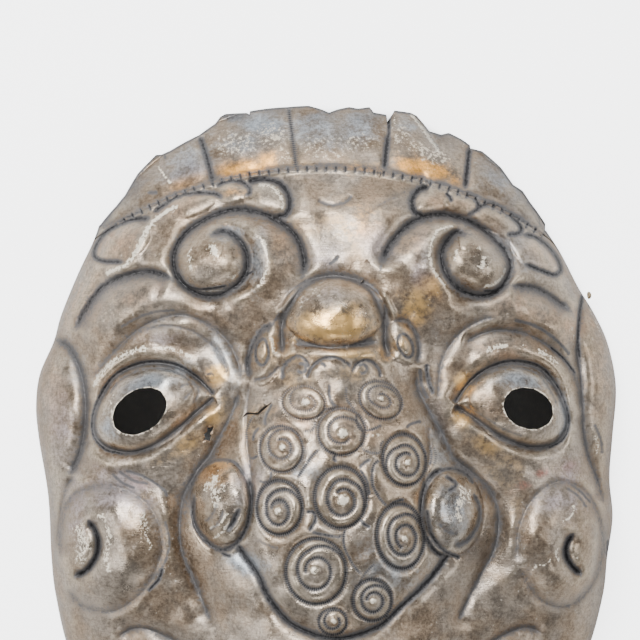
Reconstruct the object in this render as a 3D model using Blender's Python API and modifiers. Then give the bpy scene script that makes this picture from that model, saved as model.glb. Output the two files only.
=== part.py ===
"""A beast-faced mask raised from one sheet of silver, lying face up on its open side.

The face looks along +Z, the crest points along +Y, and the origin is on the floor under the middle
of the mask. Plan sizes and heights are in millimetres and become metres as the mesh is made.
"""

from dataclasses import dataclass

import bmesh
import bpy
import numpy as np
from mathutils import Matrix

MM = 0.001

# the sheet and the height of its bare dome
SHEET = 1.1
DOME_HEIGHT = 62.0
DOME_FULLNESS = 2.6
RIM_GUARD = 0.06

# the crest: its torn edge follows one circle, its milled band another
CREST_CENTRE = (-1.5, 41.2)
CREST_RADIUS = 119.3
BAND_CENTRE = (-2.0, -47.4)
BAND_RADIUS = 179.7
BAND_FILLET = (1.2, 1.8)
CREST_EDGE_HEIGHT = 12.0
CREST_SWELL = 12.0
CREST_STARTS_Y = 60.0

# the net that becomes the mask
NET_CELLS = 300
NET_TRIANGLES = 4560
NET_TURN = 45.0
BACK_SOFTENING = 6
RIM_SNAP = 0.4

# the outline from the crest's right end round the chin to its left end
SIDE_OUTLINE = (
    (99.0, 104.5), (105.8, 94.0), (113.4, 79.2), (121.0, 66.6), (127.0, 53.0), (130.5, 34.0),
    (128.9, 11.7), (127.6, -6.8), (129.0, -24.3), (126.6, -42.0), (124.5, -60.0), (117.0, -86.0),
    (102.0, -113.0), (78.0, -137.0), (46.0, -153.2), (12.0, -160.1), (-12.0, -160.1), (-46.0, -153.2),
    (-77.0, -137.0), (-101.0, -113.0), (-115.0, -86.0), (-121.5, -60.0), (-123.6, -42.0),
    (-125.0, -15.0), (-129.2, 11.0), (-130.5, 25.7), (-128.8, 40.0), (-122.6, 54.5), (-119.0, 67.0),
    (-111.6, 85.1), (-105.0, 99.0), (-102.0, 107.0),
)

# how far the torn edge stands off its circle, by its place along X
TORN_EDGE = (
    (-102.0, 0.7), (-90.5, -0.3), (-83.3, 2.5), (-74.7, 3.7), (-69.3, 1.3), (-56.7, 0.6), (-49.1, 2.2),
    (-44.1, 4.6), (-35.1, 1.8), (-34.2, 0.6), (-33.8, 2.3), (-17.1, 0.7), (-7.7, 0.4), (1.4, -3.0),
    (10.4, 0.3), (19.4, 1.5), (21.6, -0.7), (26.4, -0.6), (28.5, -3.4), (31.0, 2.6), (37.4, 3.8),
    (40.0, 3.3), (46.8, -1.2), (51.8, -0.3), (54.5, 2.2), (60.3, 2.6), (64.4, 1.0), (68.9, 3.1),
    (77.4, 2.6), (83.7, 0.6), (87.3, 2.0), (98.1, 0.9), (99.0, -0.8),
)


@dataclass(frozen=True)
class Mass:
    """A broad swelling: its middle, half sizes, turn in degrees, height and squareness."""

    x: float
    y: float
    half_x: float
    half_y: float
    turn: float
    height: float
    square: float = 1.2


@dataclass(frozen=True)
class Boss:
    """A swelling with a clear edge, round (0.5) or soft (1) in section."""

    x: float
    y: float
    half_x: float
    half_y: float
    turn: float
    height: float
    section: float = 0.7


@dataclass(frozen=True)
class Groove:
    """A chased line through a few points: its depth, and how fast each of its walls rises."""

    path: tuple
    depth: float
    left: float = 3.0
    right: float = 3.0
    fade: float = 5.0


@dataclass(frozen=True)
class Rib:
    """A raised line through a few points."""

    path: tuple
    height: float
    width: float


@dataclass(frozen=True)
class Curl:
    """A round curl of the muzzle, with one spiral line round its knob."""

    x: float
    y: float
    half_x: float
    half_y: float
    turn: float
    start: float
    turns: float = 1.7


MASSES = {
    "muzzle": Mass(4, -38, 50, 82, 0, 30, 1.6),
    "nose_bridge": Mass(4, 58, 30, 30, 0, 13),
    "brow_left": Mass(-55, 88, 52, 30, 18, 13, 1.4),
    "brow_right": Mass(58, 90, 50, 30, -16, 13, 1.4),
    "eyebrow_left": Mass(-92, 72, 26, 14, 35, 5, 1.0),
    "eyebrow_right": Mass(95, 68, 26, 12, -32, 5, 1.0),
    "forehead": Mass(4, 110, 60, 34, 0, 5),
    "frown": Mass(4, 94, 17, 16, 0, -4),
    "bridge_roll": Mass(5.5, 50, 23, 3.6, -3, 2.5, 1.6),
    "eye_left": Mass(-80, 24, 30, 22, 24, 5),
    "eye_right": Mass(86, 25, 30, 22, -22, 5),
    "cheek_left": Mass(-96, -37, 26, 30, 0, 10, 1.6),
    "cheek_right": Mass(105, -36, 22, 30, 0, 10, 1.6),
    "upper_lip": Mass(4, -97, 66, 18, 0, 10, 1.4),
    "lower_lip": Mass(4, -127, 50, 14, 0, 8),
    "chin": Mass(4, -150, 46, 14, 0, 7, 1.0),
}

BOSSES = {
    "bridge_bump": Boss(3.5, 68, 23, 15.8, 0, 9, 0.6),
    "nostril_left": Boss(-47, -16.5, 13.5, 19.5, 5, 10, 0.8),
    "nostril_right": Boss(56.5, -22, 14, 19.5, -3, 10, 0.8),
    "eyeball_left": Boss(-81, 24, 24, 17, 26, 5),
    "eyeball_right": Boss(86, 26, 23, 17, -22, 5),
    "scroll_left": Boss(-50, 91, 17.5, 16.5, 0, 4),
    "scroll_right": Boss(67, 90, 17, 15.5, 0, 4),
    "leaf_left": Boss(-92, 99.5, 14, 9, 20, 3, 0.8),
    "leaf_right": Boss(95, 94, 15, 8, -38, 3, 0.8),
    "eyelet_left": Boss(-27, 49, 7.5, 14.5, -10, 3),
    "eyelet_right": Boss(34, 54, 7, 10.5, 28, 3),
}

GROOVES = {
    "crest_flute_1": Groove(((-57, 147.6), (-54, 139), (-50.3, 125)), 3.0, 3.0, 3.0, 3),
    "crest_flute_2": Groove(((-16.8, 160.5), (-15, 146), (-13, 131)), 2.2, 2.0, 2.0, 3),
    "crest_flute_3": Groove(((28.0, 149), (27, 141), (26, 130.5)), 2.6, 2.6, 2.6, 4),
    "crest_flute_4": Groove(((64.6, 143), (63.6, 134), (62.3, 122.5)), 3.0, 2.4, 2.4, 3),
    "brow_scroll_left": Groove(
        (
            (-54, 101), (-45, 104), (-37.5, 98.5), (-35, 89), (-39, 80.5), (-50, 75), (-61, 78), (-67.5, 86),
            (-67, 97), (-58, 107), (-42, 113.5), (-26, 111), (-14, 102.5), (-9.7, 91), (-11.3, 81),
        ),
        7.5, 4.2, 5.5, 9,
    ),
    "brow_scroll_right": Groove(
        (
            (66, 101), (58, 103.5), (52, 95.5), (53, 86.5), (59, 78.5), (68, 75), (77, 77.5), (82.3, 86),
            (81, 94), (73, 103), (62, 109.3), (49, 111.5), (37, 107), (28, 97), (23.5, 86.5),
        ),
        7.5, 5.5, 4.2, 9,
    ),
    "under_brow_left": Groove(
        ((-113.5, 58.5), (-108, 69), (-100, 79.3), (-89, 84.5), (-77, 85.8), (-66.5, 81.5)), 7.0, 3.5, 7.0, 7
    ),
    "under_brow_right": Groove(((80, 79.5), (90, 79.3), (98, 76.5), (111.5, 67)), 6.0, 3.5, 6.0, 7),
    "socket_left": Groove(
        ((-106, 36), (-90, 55), (-79, 63), (-66, 66.5), (-55, 63.5), (-45, 56), (-39.5, 46), (-38, 36)),
        3.2, 4, 3, 8,
    ),
    "socket_right_inner": Groove(((50.2, 26), (50.5, 40), (60, 58.5), (70, 64.5), (79, 65.8)), 2.6, 4, 3, 8),
    "socket_right": Groove(
        ((60, 51), (66, 56.5), (76, 59.7), (88, 58.5), (99, 53), (108, 44.5), (113.3, 34), (114.4, 20)),
        4.2, 4, 3, 8,
    ),
    "upper_lid_left": Groove(
        ((-103, 10.5), (-103.6, 19), (-100, 31), (-93, 40), (-81, 44.8), (-68, 44), (-58, 38.5), (-49.5, 30.3)),
        5.0, 3.6, 2.2, 2,
    ),
    "lower_lid_left": Groove(
        ((-103, 10.5), (-97, 6.8), (-88, 5.2), (-78, 8), (-68, 14.5), (-49.5, 30.3)), 4.5, 2.0, 3.2, 2
    ),
    "upper_lid_right": Groove(
        ((57, 26.5), (63, 35), (71, 41.5), (82, 45.2), (94, 43.3), (101, 37), (106, 27), (107.7, 17.5),
         (104.5, 11.5)),
        5.0, 3.6, 2.2, 2,
    ),
    "lower_lid_right": Groove(
        ((57, 26.5), (67, 20), (78, 12.5), (90, 7.8), (99, 7.8), (104.5, 11.5)), 4.5, 2.2, 3.0, 2
    ),
    "ear_left": Groove(
        ((-124, 56.5), (-115.5, 52), (-110, 41), (-107.7, 28), (-108.4, 14), (-111, 3), (-116, -7)),
        8.0, 5, 5, 7,
    ),
    "jaw_left": Groove(((-111, -3), (-117, -12), (-119.8, -26), (-121.5, -40)), 4.0, 4, 3, 6),
    "ear_right": Groove(
        ((115.5, 74), (113.7, 62), (112.6, 51), (114.2, 40), (115.6, 14), (118, 2), (122, -8), (125, -20)),
        7.0, 5, 5, 7,
    ),
    "bridge": Groove(
        ((-19.5, 48), (-19.5, 62), (-10, 79), (0, 83.6), (10, 82.8), (18.5, 78.5), (26, 63), (28.5, 45)),
        5.5, 4.5, 3.0, 5,
    ),
    "bridge_under": Groove(((-17, 54), (-8, 53), (16, 53.5), (25.5, 56)), 3.0, 2.5, 4, 5),
    "eyelet_left": Groove(((-22.5, 63), (-28.5, 60), (-33, 53), (-35, 45), (-34, 37.5)), 3.5, 3, 2.5, 4),
    "eyelet_right": Groove(((29, 64), (36, 63.8), (40.5, 57.5), (41.5, 50), (40, 44)), 3.0, 2.5, 3, 4),
    "muzzle_side_left": Groove(
        (
            (-38.5, 36), (-41, 25), (-47, 13), (-58.5, -5), (-63.5, -14), (-65.5, -27), (-64.5, -39), (-60, -50),
            (-50, -74),
        ),
        5.5, 5, 5, 9,
    ),
    "muzzle_side_right": Groove(
        (
            (40.5, 44), (41, 34), (46, 24), (57, 3), (64, -3), (71.5, -9.5), (76.5, -19), (77, -30), (74.5, -40),
            (69, -50), (57, -74),
        ),
        6.0, 5, 5, 9,
    ),
    "nose_side_left": Groove(((-34, 37), (-35.5, 22), (-35, 8), (-33.2, -15), (-35.5, -25), (-41, -35)), 2.6),
    "nose_side_right": Groove(((45.5, 20), (46.5, 6), (43.2, -18), (45, -30), (54, -40)), 3.0),
    "nose_pad": Groove(
        (
            (-41, -34), (-30, -50), (-24.5, -61), (-14, -72), (4, -77.5), (22, -73), (34, -63), (47.5, -50),
            (55, -39),
        ),
        5.0, 3.4, 3.4, 6,
    ),
    "lobe_left": Groove(
        ((-36, 126), (-28, 127.3), (-21, 125.5), (-17, 120.5), (-16.3, 115), (-18.5, 111), (-23.5, 111)),
        4.5, 3.5, 3, 3,
    ),
    "lobe_left_2": Groove(((-50, 124), (-44, 126.5), (-38, 126.3), (-34.5, 123.7), (-37, 120.3)), 2.4, 2.5, 2.5, 3),
    "lobe_left_3": Groove(((-78, 112), (-68, 119), (-60, 121.2), (-52, 121.3), (-47.2, 117.6)), 2.6, 2.5, 2.5, 3),
    "leaf_left": Groove(
        ((-78, 110), (-87, 109.3), (-95, 106), (-101, 101.5), (-104.2, 94.7), (-101, 91), (-90, 90.2)), 4.0, 3, 3, 3
    ),
    "lobe_right": Groove(((47, 124), (41.5, 122.5), (38.5, 117.5), (40, 112.5), (45, 110.5)), 4.5, 3, 4, 3),
    "lobe_right_2": Groove(((61, 121), (67, 118.5), (67.7, 114), (62.5, 111)), 2.6, 2.5, 2.5, 3),
    "lobe_right_3": Groove(
        ((66, 112), (70, 115.5), (76, 115.5), (83, 110.7), (87.5, 105.8), (80, 102.8)), 3.0, 2.5, 3, 3
    ),
    "leaf_right": Groove(
        ((87, 102.6), (93, 101.8), (99, 98), (103.8, 92), (105.3, 87), (102.5, 84.6), (88, 90)), 3.5, 3, 3, 4
    ),
    "cheek_left": Groove(
        (
            (-119, -44), (-119, -28), (-114.5, -15.5), (-104, -10.5), (-91, -11), (-81, -17), (-75.3, -25),
            (-73.3, -36), (-75, -45), (-82, -57), (-95, -66), (-109, -64), (-117, -55),
        ),
        3.2, 4, 5, 7,
    ),
    "cheek_curl_left": Groove(
        ((-107.5, -24.5), (-103.7, -29), (-101.8, -35), (-103, -42), (-107.5, -48), (-114, -51)), 7.0, 2.6, 3.4
    ),
    "cheek_right": Groove(
        (
            (85.5, -45), (86, -30), (91.5, -17), (100, -9.5), (109, -8.5), (118, -14.5), (123.3, -27),
            (124.3, -40), (119, -55), (108, -64), (95, -60), (85.5, -45),
        ),
        3.2, 4, 4, 7,
    ),
    "cheek_curl_right": Groove(((111.5, -30), (108, -35.5), (107.5, -41), (110.5, -46.5), (116, -50.5)), 7.0),
    "upper_lip": Groove(
        ((-95, -79), (-80, -74), (-44, -92), (-20, -100), (28, -100), (52, -92), (86, -74), (99, -78)),
        5.0, 4, 5, 8,
    ),
    "mouth": Groove(
        ((-88, -93), (-72, -96), (-50, -108), (-24, -117), (32, -117), (58, -108), (78, -96), (92, -93)),
        10.0, 4, 4, 8,
    ),
    "lower_lip": Groove(((-62, -117), (-40, -129), (-18, -135), (26, -135), (46, -129), (66, -117)), 4.5, 4, 5, 8),
}

RIBS = {
    "scroll_edge_left": Rib(((-35, 106), (-30.5, 101), (-27.3, 95), (-26.3, 87), (-28.5, 80.5), (-44, 71.5)), 2.2, 4),
    "scroll_edge_right": Rib(((60, 106.5), (52, 105), (47.5, 99.5), (46.6, 92), (48.2, 85.5), (60, 73.5)), 2.2, 4),
    "brow_edge_left": Rib(((-74, 110), (-79, 106), (-82.3, 99.5), (-85, 93.5), (-90, 88), (-100, 85)), 2.4, 3),
    "strap_left": Rib(((-11, 79.6), (-17, 72.5), (-23, 65)), 2.6, 1.5),
    "strap_right": Rib(((24, 79), (28, 71), (31.6, 64)), 2.6, 1.5),
    "lid_left": Rib(((-106, 26), (-103.5, 36), (-96.5, 43.2), (-87, 47.7), (-76, 49.7), (-55, 42)), 1.6, 3.5),
    "lid_right": Rib(((61, 40), (69, 47), (79, 50.3), (91, 50), (101.5, 44.8), (107.5, 37.5), (112, 18)), 1.6, 3.5),
    "under_eye_left": Rib(((-107, 10), (-102, 2.5), (-93, -0.2), (-82, 2), (-70, 8), (-51, 25)), 1.8, 3.5),
}
RIB_FADE = 5.0

CURLS = (
    Curl(-9.8, 27.8, 9.8, 8.4, -15, 200),
    Curl(24.5, 28.8, 11.0, 8.2, -25, 30),
    Curl(6.7, 14.5, 10.8, 10.0, 0, 90),
    Curl(-19.7, 7.0, 10.3, 9.8, 20, 0),
    Curl(35.3, 1.8, 9.8, 12.2, 15, 90),
    Curl(6.9, -15.3, 12.0, 12.8, 0, 60),
    Curl(-21.2, -20.0, 10.6, 11.6, 0, 40),
    Curl(33.8, -32.3, 11.4, 13.2, 10, 70),
    Curl(-4.5, -47.5, 13.6, 14.2, 0, 60),
    Curl(21.0, -60.0, 8.5, 9.0, 0, 60, 1.5),
    Curl(3.5, -69.5, 6.5, 6.0, 0, 60, 1.4),
)
CURL_SWELL = 2.6
CURL_KNOB = 1.2
KNOB_SHARE = 0.26
CURL_RING = (2.2, 1.5)
CURL_COIL = (1.5, 0.9)
COIL_FROM, COIL_TO = 0.30, 0.80

# the pierced eyes: middle, half sizes and turn in degrees
EYE_HOLES = {"left": (-83.3, 23.6, 13.0, 9.3, 33.0), "right": (90.4, 24.8, 11.4, 8.9, -22.0)}
HOLE_SIDES = 40

# the knot of tie thread at the right edge
KNOT_PLACE = (118.3, 75.4, 7.6)
KNOT_SIZE = (3.0, 3.6, 2.8)


def ease(t):
    """0 to 1 with a level start and end."""
    t = np.clip(t, 0.0, 1.0)
    return t * t * (3.0 - 2.0 * t)


def smooth_line(points, per_span=8):
    """A Catmull-Rom line through the points."""
    p = np.asarray(points, float)
    padded = np.vstack([p[0], p, p[-1]])
    t = np.linspace(0.0, 1.0, per_span, endpoint=False)[:, None]
    spans = []
    for a, b, c, d in zip(padded, padded[1:], padded[2:], padded[3:]):
        spans.append(
            0.5 * (2 * b + (c - a) * t + (2 * a - 5 * b + 4 * c - d) * t**2 + (3 * b - 3 * c + d - a) * t**3)
        )
    return np.vstack(spans + [p[-1]])


def ray_to_circle(theta, centre, radius):
    """The distance from the origin to a circle round it, along each direction."""
    along = np.cos(theta) * centre[0] + np.sin(theta) * centre[1]
    return along + np.sqrt(along**2 - (centre[0] ** 2 + centre[1] ** 2 - radius**2))


class Outline:
    """The mask's plan outline as a radius for each direction: even, torn and softened."""

    STEPS = 1440
    SOFTNESS = 0.16
    KINKS_REACH = 14

    def __init__(self):
        side = smooth_line(SIDE_OUTLINE, 10)
        first = np.arctan2(SIDE_OUTLINE[0][1], SIDE_OUTLINE[0][0])
        last = np.arctan2(SIDE_OUTLINE[-1][1], SIDE_OUTLINE[-1][0])
        crest = np.linspace(first, last, self.STEPS)[1:-1]
        arc = ray_to_circle(crest, CREST_CENTRE, CREST_RADIUS)
        off = np.interp(arc * np.cos(crest), *np.transpose(TORN_EDGE))
        theta = np.concatenate([np.arctan2(side[:, 1], side[:, 0]), crest]) % (2 * np.pi)
        reach = np.hypot(side[:, 0], side[:, 1])
        order = np.argsort(theta)
        self.theta = theta[order]
        self.even = np.concatenate([reach, arc])[order]
        self.torn = np.concatenate([reach, arc + off])[order]
        self.grid = np.linspace(0, 2 * np.pi, self.STEPS, endpoint=False)
        waves = np.fft.rfft(self._at(self.even, self.grid))
        waves *= np.exp(-0.5 * (np.arange(len(waves)) * self.SOFTNESS) ** 2)
        self.soft = np.fft.irfft(waves, self.STEPS)

    def _at(self, radii, theta):
        return np.interp(theta % (2 * np.pi), self.theta, radii, period=2 * np.pi)

    def torn_radius(self, theta):
        return self._at(self.torn, theta)

    def even_radius(self, theta):
        return self._at(self.even, theta)

    def share(self, x, y):
        """How far out a point lies: 0 at the middle and 1 at the even outline."""
        theta = np.arctan2(y, x)
        reach = np.hypot(x, y)
        even = self.even_radius(theta)
        soft = np.interp(theta % (2 * np.pi), self.grid, self.soft, period=2 * np.pi)
        return reach / (soft + (even - soft) * np.clip(reach / even, 0, 1) ** self.KINKS_REACH)


OUTLINE = Outline()


def local(x, y, form):
    """A point in a form's own axes, in its half sizes."""
    turn = np.radians(form.turn)
    dx, dy = x - form.x, y - form.y
    return (
        (dx * np.cos(turn) + dy * np.sin(turn)) / form.half_x,
        (-dx * np.sin(turn) + dy * np.cos(turn)) / form.half_y,
    )


def along_line(points, x, y, reach):
    """Yields, for each stretch of a line, the near points, their distance, side and place along it."""
    run = 0.0
    total = np.hypot(*np.diff(points, axis=0).T).sum()
    near = np.nonzero(
        (x > points[:, 0].min() - reach) & (x < points[:, 0].max() + reach)
        & (y > points[:, 1].min() - reach) & (y < points[:, 1].max() + reach)
    )[0]
    for a, b in zip(points[:-1], points[1:]):
        step = b - a
        length = np.hypot(*step)
        low, high = np.minimum(a, b) - reach, np.maximum(a, b) + reach
        px, py = x[near], y[near]
        k = near[(px > low[0]) & (px < high[0]) & (py > low[1]) & (py < high[1])]
        t = np.clip(((x[k] - a[0]) * step[0] + (y[k] - a[1]) * step[1]) / length**2, 0, 1)
        off_x, off_y = x[k] - a[0] - t * step[0], y[k] - a[1] - t * step[1]
        yield k, np.hypot(off_x, off_y), step[0] * off_y - step[1] * off_x, run + t * length, total
        run += length


def groove_cut(groove, x, y):
    """The depth that one chased line takes from each point."""
    cut = np.zeros_like(x)
    reach = 4.2 * max(groove.left, groove.right)
    for k, distance, side, place, total in along_line(smooth_line(groove.path), x, y, reach):
        wall = np.where(side > 0, groove.left, groove.right)
        ends = ease(place / groove.fade) * ease((total - place) / groove.fade)
        window = np.clip(1 - (distance / reach) ** 2, 0, 1) ** 2
        cut[k] = np.maximum(cut[k], groove.depth * np.exp(-distance / wall) * ends * window)
    return cut


def rib_rise(rib, x, y):
    """The height that one raised line adds to each point."""
    rise = np.zeros_like(x)
    for k, distance, _, place, total in along_line(smooth_line(rib.path), x, y, 2.6 * rib.width):
        ends = ease(place / RIB_FADE) * ease((total - place) / RIB_FADE)
        rise[k] = np.maximum(rise[k], rib.height * np.exp(-((distance / rib.width) ** 2)) * ends)
    return rise


def curl_relief(curl, x, y):
    """A muzzle curl's swelling with its knob, and the cut of its ring and spiral line."""
    u, v = local(x, y, curl)
    out = np.hypot(u, v)
    size = (curl.half_x + curl.half_y) / 2
    swell = CURL_SWELL * np.sqrt(np.clip(1 - out**2, 0, 1))
    swell += CURL_KNOB * np.sqrt(np.clip(1 - (out / KNOB_SHARE) ** 2, 0, 1))
    cut = CURL_RING[0] * np.exp(-np.abs(out - 1) * size / CURL_RING[1])
    angle = (np.arctan2(v, u) - np.radians(curl.start)) % (2 * np.pi)
    for turn in range(int(np.ceil(curl.turns))):
        whole = (angle / (2 * np.pi) + turn) / curl.turns
        line = COIL_FROM + (COIL_TO - COIL_FROM) * whole
        coil = CURL_COIL[0] * np.exp(-np.abs(out - line) * size / CURL_COIL[1])
        cut = np.maximum(cut, np.where(whole <= 1, coil, 0))
    return swell, cut


def dome_height(x, y):
    """The bare sheet: a dome with a steep edge, and the crest leaning back from the milled band."""
    theta = np.arctan2(y, x)
    share = OUTLINE.share(x, y)
    dome = DOME_HEIGHT * np.sqrt(np.clip(1 - share**DOME_FULLNESS, 0, 1))
    band = ray_to_circle(theta, BAND_CENTRE, BAND_RADIUS) / OUTLINE.even_radius(theta)
    band = np.clip(band, 0, 0.999)
    band_height = DOME_HEIGHT * np.sqrt(1 - band**DOME_FULLNESS) - 2.0
    edge = CREST_EDGE_HEIGHT * ease((y - 95) / 25)
    t = np.clip((share - band) / (1 - band), 0, 1.1)
    crest = band_height + (edge - band_height) * t + CREST_SWELL * t * (1 - t)
    on_crest = (y > CREST_STARTS_Y) & (share > band)
    return np.where(on_crest, crest, dome), on_crest, share


def face_height(x, y):
    """The height of the mask's front over the floor, in millimetres, at each plan point."""
    bare, on_crest, share = dome_height(x, y)
    relief = np.zeros_like(x)
    for mass in MASSES.values():
        u, v = local(x, y, mass)
        relief += np.where(on_crest, 0, mass.height * np.exp(-((u * u + v * v) ** mass.square)))
    for boss in BOSSES.values():
        u, v = local(x, y, boss)
        relief += boss.height * np.clip(1 - u * u - v * v, 0, 1) ** boss.section
    for rib in RIBS.values():
        relief += rib_rise(rib, x, y)
    off_band = np.hypot(x - BAND_CENTRE[0], y - BAND_CENTRE[1]) - BAND_RADIUS
    fillet = BAND_FILLET[0] * np.exp(-((off_band / BAND_FILLET[1]) ** 4))
    relief += np.where(y > CREST_STARTS_Y, fillet, 0)
    cut = sum(groove_cut(groove, x, y) ** 3 for groove in GROOVES.values()) ** (1 / 3)
    for curl in CURLS:
        swell, lines = curl_relief(curl, x, y)
        relief += swell
        cut = np.maximum(cut, lines)
    guard = np.where(on_crest, 1.0, ease((1 - share) / RIM_GUARD))
    return bare + (relief - cut) * guard


def net_to_plan(u, v):
    """A square net's points laid over the outline, its rows closer together towards the rim."""
    disc_x, disc_y = u * np.sqrt(1 - v * v / 2), v * np.sqrt(1 - u * u / 2)
    theta = np.arctan2(disc_y, disc_x) + np.radians(NET_TURN)
    out = np.clip(np.hypot(disc_x, disc_y), 0, 1)
    out = (1.2 * out - 0.2 * out**6) * OUTLINE.torn_radius(theta)
    return out * np.cos(theta), out * np.sin(theta)


def silver(name, colour, roughness, metallic):
    """A plain Principled material."""
    material = bpy.data.materials.new(name)
    material.use_nodes = True
    shader = material.node_tree.nodes["Principled BSDF"]
    shader.inputs["Base Color"].default_value = (*colour, 1.0)
    shader.inputs["Roughness"].default_value = roughness
    shader.inputs["Metallic"].default_value = metallic
    return material


def add_object(name, mesh, collection, material=None):
    """Puts a mesh into a collection as a named object."""
    obj = bpy.data.objects.new(name, mesh)
    if material:
        mesh.materials.append(material)
    collection.objects.link(obj)
    return obj


def add_collection(name):
    collection = bpy.data.collections.new(name)
    bpy.context.scene.collection.children.link(collection)
    return collection


def vertex_array(mesh, field="co"):
    """A mesh's vertex places or normals as rows."""
    source = mesh.vertices if field == "co" else mesh.vertex_normals
    flat = np.empty(len(mesh.vertices) * 3, np.float32)
    source.foreach_get(field if field == "co" else "vector", flat)
    return flat.reshape(-1, 3).astype(float)


def place_vertices(mesh, points):
    mesh.vertices.foreach_set("co", points.astype(np.float32).ravel())
    mesh.update()


def modified(mesh, kind, **settings):
    """The mesh that one modifier makes of a mesh."""
    carrier = bpy.data.objects.new("carrier", mesh)
    bpy.context.scene.collection.objects.link(carrier)
    modifier = carrier.modifiers.new("step", kind)
    for name, value in settings.items():
        setattr(modifier, name, value)
    graph = bpy.context.evaluated_depsgraph_get()
    result = bpy.data.meshes.new_from_object(carrier.evaluated_get(graph))
    bpy.data.objects.remove(carrier)
    return result


def face_net():
    """The open surface of the mask's front, as a fine net."""
    mesh = bpy.data.meshes.new("net")
    bm = bmesh.new()
    bmesh.ops.create_grid(bm, x_segments=NET_CELLS, y_segments=NET_CELLS, size=1.0)
    bm.to_mesh(mesh)
    bm.free()
    net = vertex_array(mesh)
    x, y = net_to_plan(net[:, 0], net[:, 1])
    place_vertices(mesh, np.column_stack([x, y, face_height(x, y)]) * MM)
    return mesh


def border_vertices(mesh):
    """Marks the vertices of an open mesh's border."""
    bm = bmesh.new()
    bm.from_mesh(mesh)
    border = np.array([v.is_boundary for v in bm.verts])
    bm.free()
    return border


def softened_normals(mesh, rounds):
    """Vertex normals, each evened out with its neighbours'."""
    normals = vertex_array(mesh, "normal")
    edges = np.empty(len(mesh.edges) * 2, np.int32)
    mesh.edges.foreach_get("vertices", edges)
    a, b = edges.reshape(-1, 2).T
    for _ in range(rounds):
        total = normals.copy()
        np.add.at(total, a, normals[b])
        np.add.at(total, b, normals[a])
        normals = total / np.linalg.norm(total, axis=1)[:, None]
    return normals


def sheet_mesh():
    """The net thinned where it is plain and thickened to sheet, its rim level with the floor."""
    front = modified(face_net(), "DECIMATE", ratio=NET_TRIANGLES / (2 * NET_CELLS**2))
    points = vertex_array(front)
    rim = border_vertices(front) & (points[:, 2] < RIM_SNAP * MM)
    points[rim, 2] = 0.0
    place_vertices(front, points)
    inward = softened_normals(front, BACK_SOFTENING)
    inward[rim, 2] = 0.0
    inward /= np.linalg.norm(inward, axis=1)[:, None]
    sheet = modified(front, "SOLIDIFY", thickness=SHEET * MM, offset=-1.0)
    place_vertices(sheet, np.vstack([points, points - inward * SHEET * MM]))
    sheet.shade_smooth()
    return sheet


def eye_cutter(side, collection):
    """An upright elliptical plug that pierces one eye."""
    x, y, half_x, half_y, turn = EYE_HOLES[side]
    bm = bmesh.new()
    bmesh.ops.create_cone(
        bm, cap_ends=True, segments=HOLE_SIDES, radius1=1.0, radius2=1.0, depth=1.0,
        matrix=Matrix.Diagonal((half_x * MM, half_y * MM, 0.12, 1.0)),
    )
    mesh = bpy.data.meshes.new(f"eye_cut_{side}")
    bm.to_mesh(mesh)
    bm.free()
    obj = add_object(f"eye_cut_{side}", mesh, collection)
    obj.location = (x * MM, y * MM, 0.07)
    obj.rotation_euler.z = np.radians(turn)
    return obj


def build_mask(parts, cutters):
    """The mask: the sheet, pierced at both eyes."""
    mask = add_object("mask", sheet_mesh(), parts, silver("tarnished_silver", (0.42, 0.37, 0.31), 0.36, 1.0))
    for side in EYE_HOLES:
        cutter = eye_cutter(side, cutters)
        cutter.hide_render = True
        cutter.display_type = "WIRE"
        cut = mask.modifiers.new(cutter.name, "BOOLEAN")
        cut.operation = "DIFFERENCE"
        cut.solver = "EXACT"
        cut.object = cutter
    return mask


def build_tie_knot(parts):
    """The small knot of thread just outside the right edge."""
    bm = bmesh.new()
    bmesh.ops.create_uvsphere(
        bm, u_segments=12, v_segments=8, radius=0.5, matrix=Matrix.Diagonal((*[s * MM for s in KNOT_SIZE], 1.0))
    )
    mesh = bpy.data.meshes.new("tie_knot")
    bm.to_mesh(mesh)
    bm.free()
    mesh.shade_smooth()
    knot = add_object("tie_knot", mesh, parts, silver("tan_thread", (0.42, 0.33, 0.2), 0.9, 0.0))
    knot.location = [v * MM for v in KNOT_PLACE]
    return knot


def main():
    for obj in list(bpy.data.objects):
        bpy.data.objects.remove(obj)
    parts = add_collection("silver_mask")
    cutters = add_collection("cutters")
    build_mask(parts, cutters)
    build_tie_knot(parts)


main()
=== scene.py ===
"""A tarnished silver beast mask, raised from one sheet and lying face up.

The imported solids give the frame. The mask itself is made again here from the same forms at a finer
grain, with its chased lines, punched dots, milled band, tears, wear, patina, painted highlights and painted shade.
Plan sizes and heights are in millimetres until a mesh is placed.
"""

import logging
import math
from dataclasses import dataclass, field
from enum import Enum

import bmesh
import bpy
import numpy as np
from mathutils import Matrix, Vector


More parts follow.
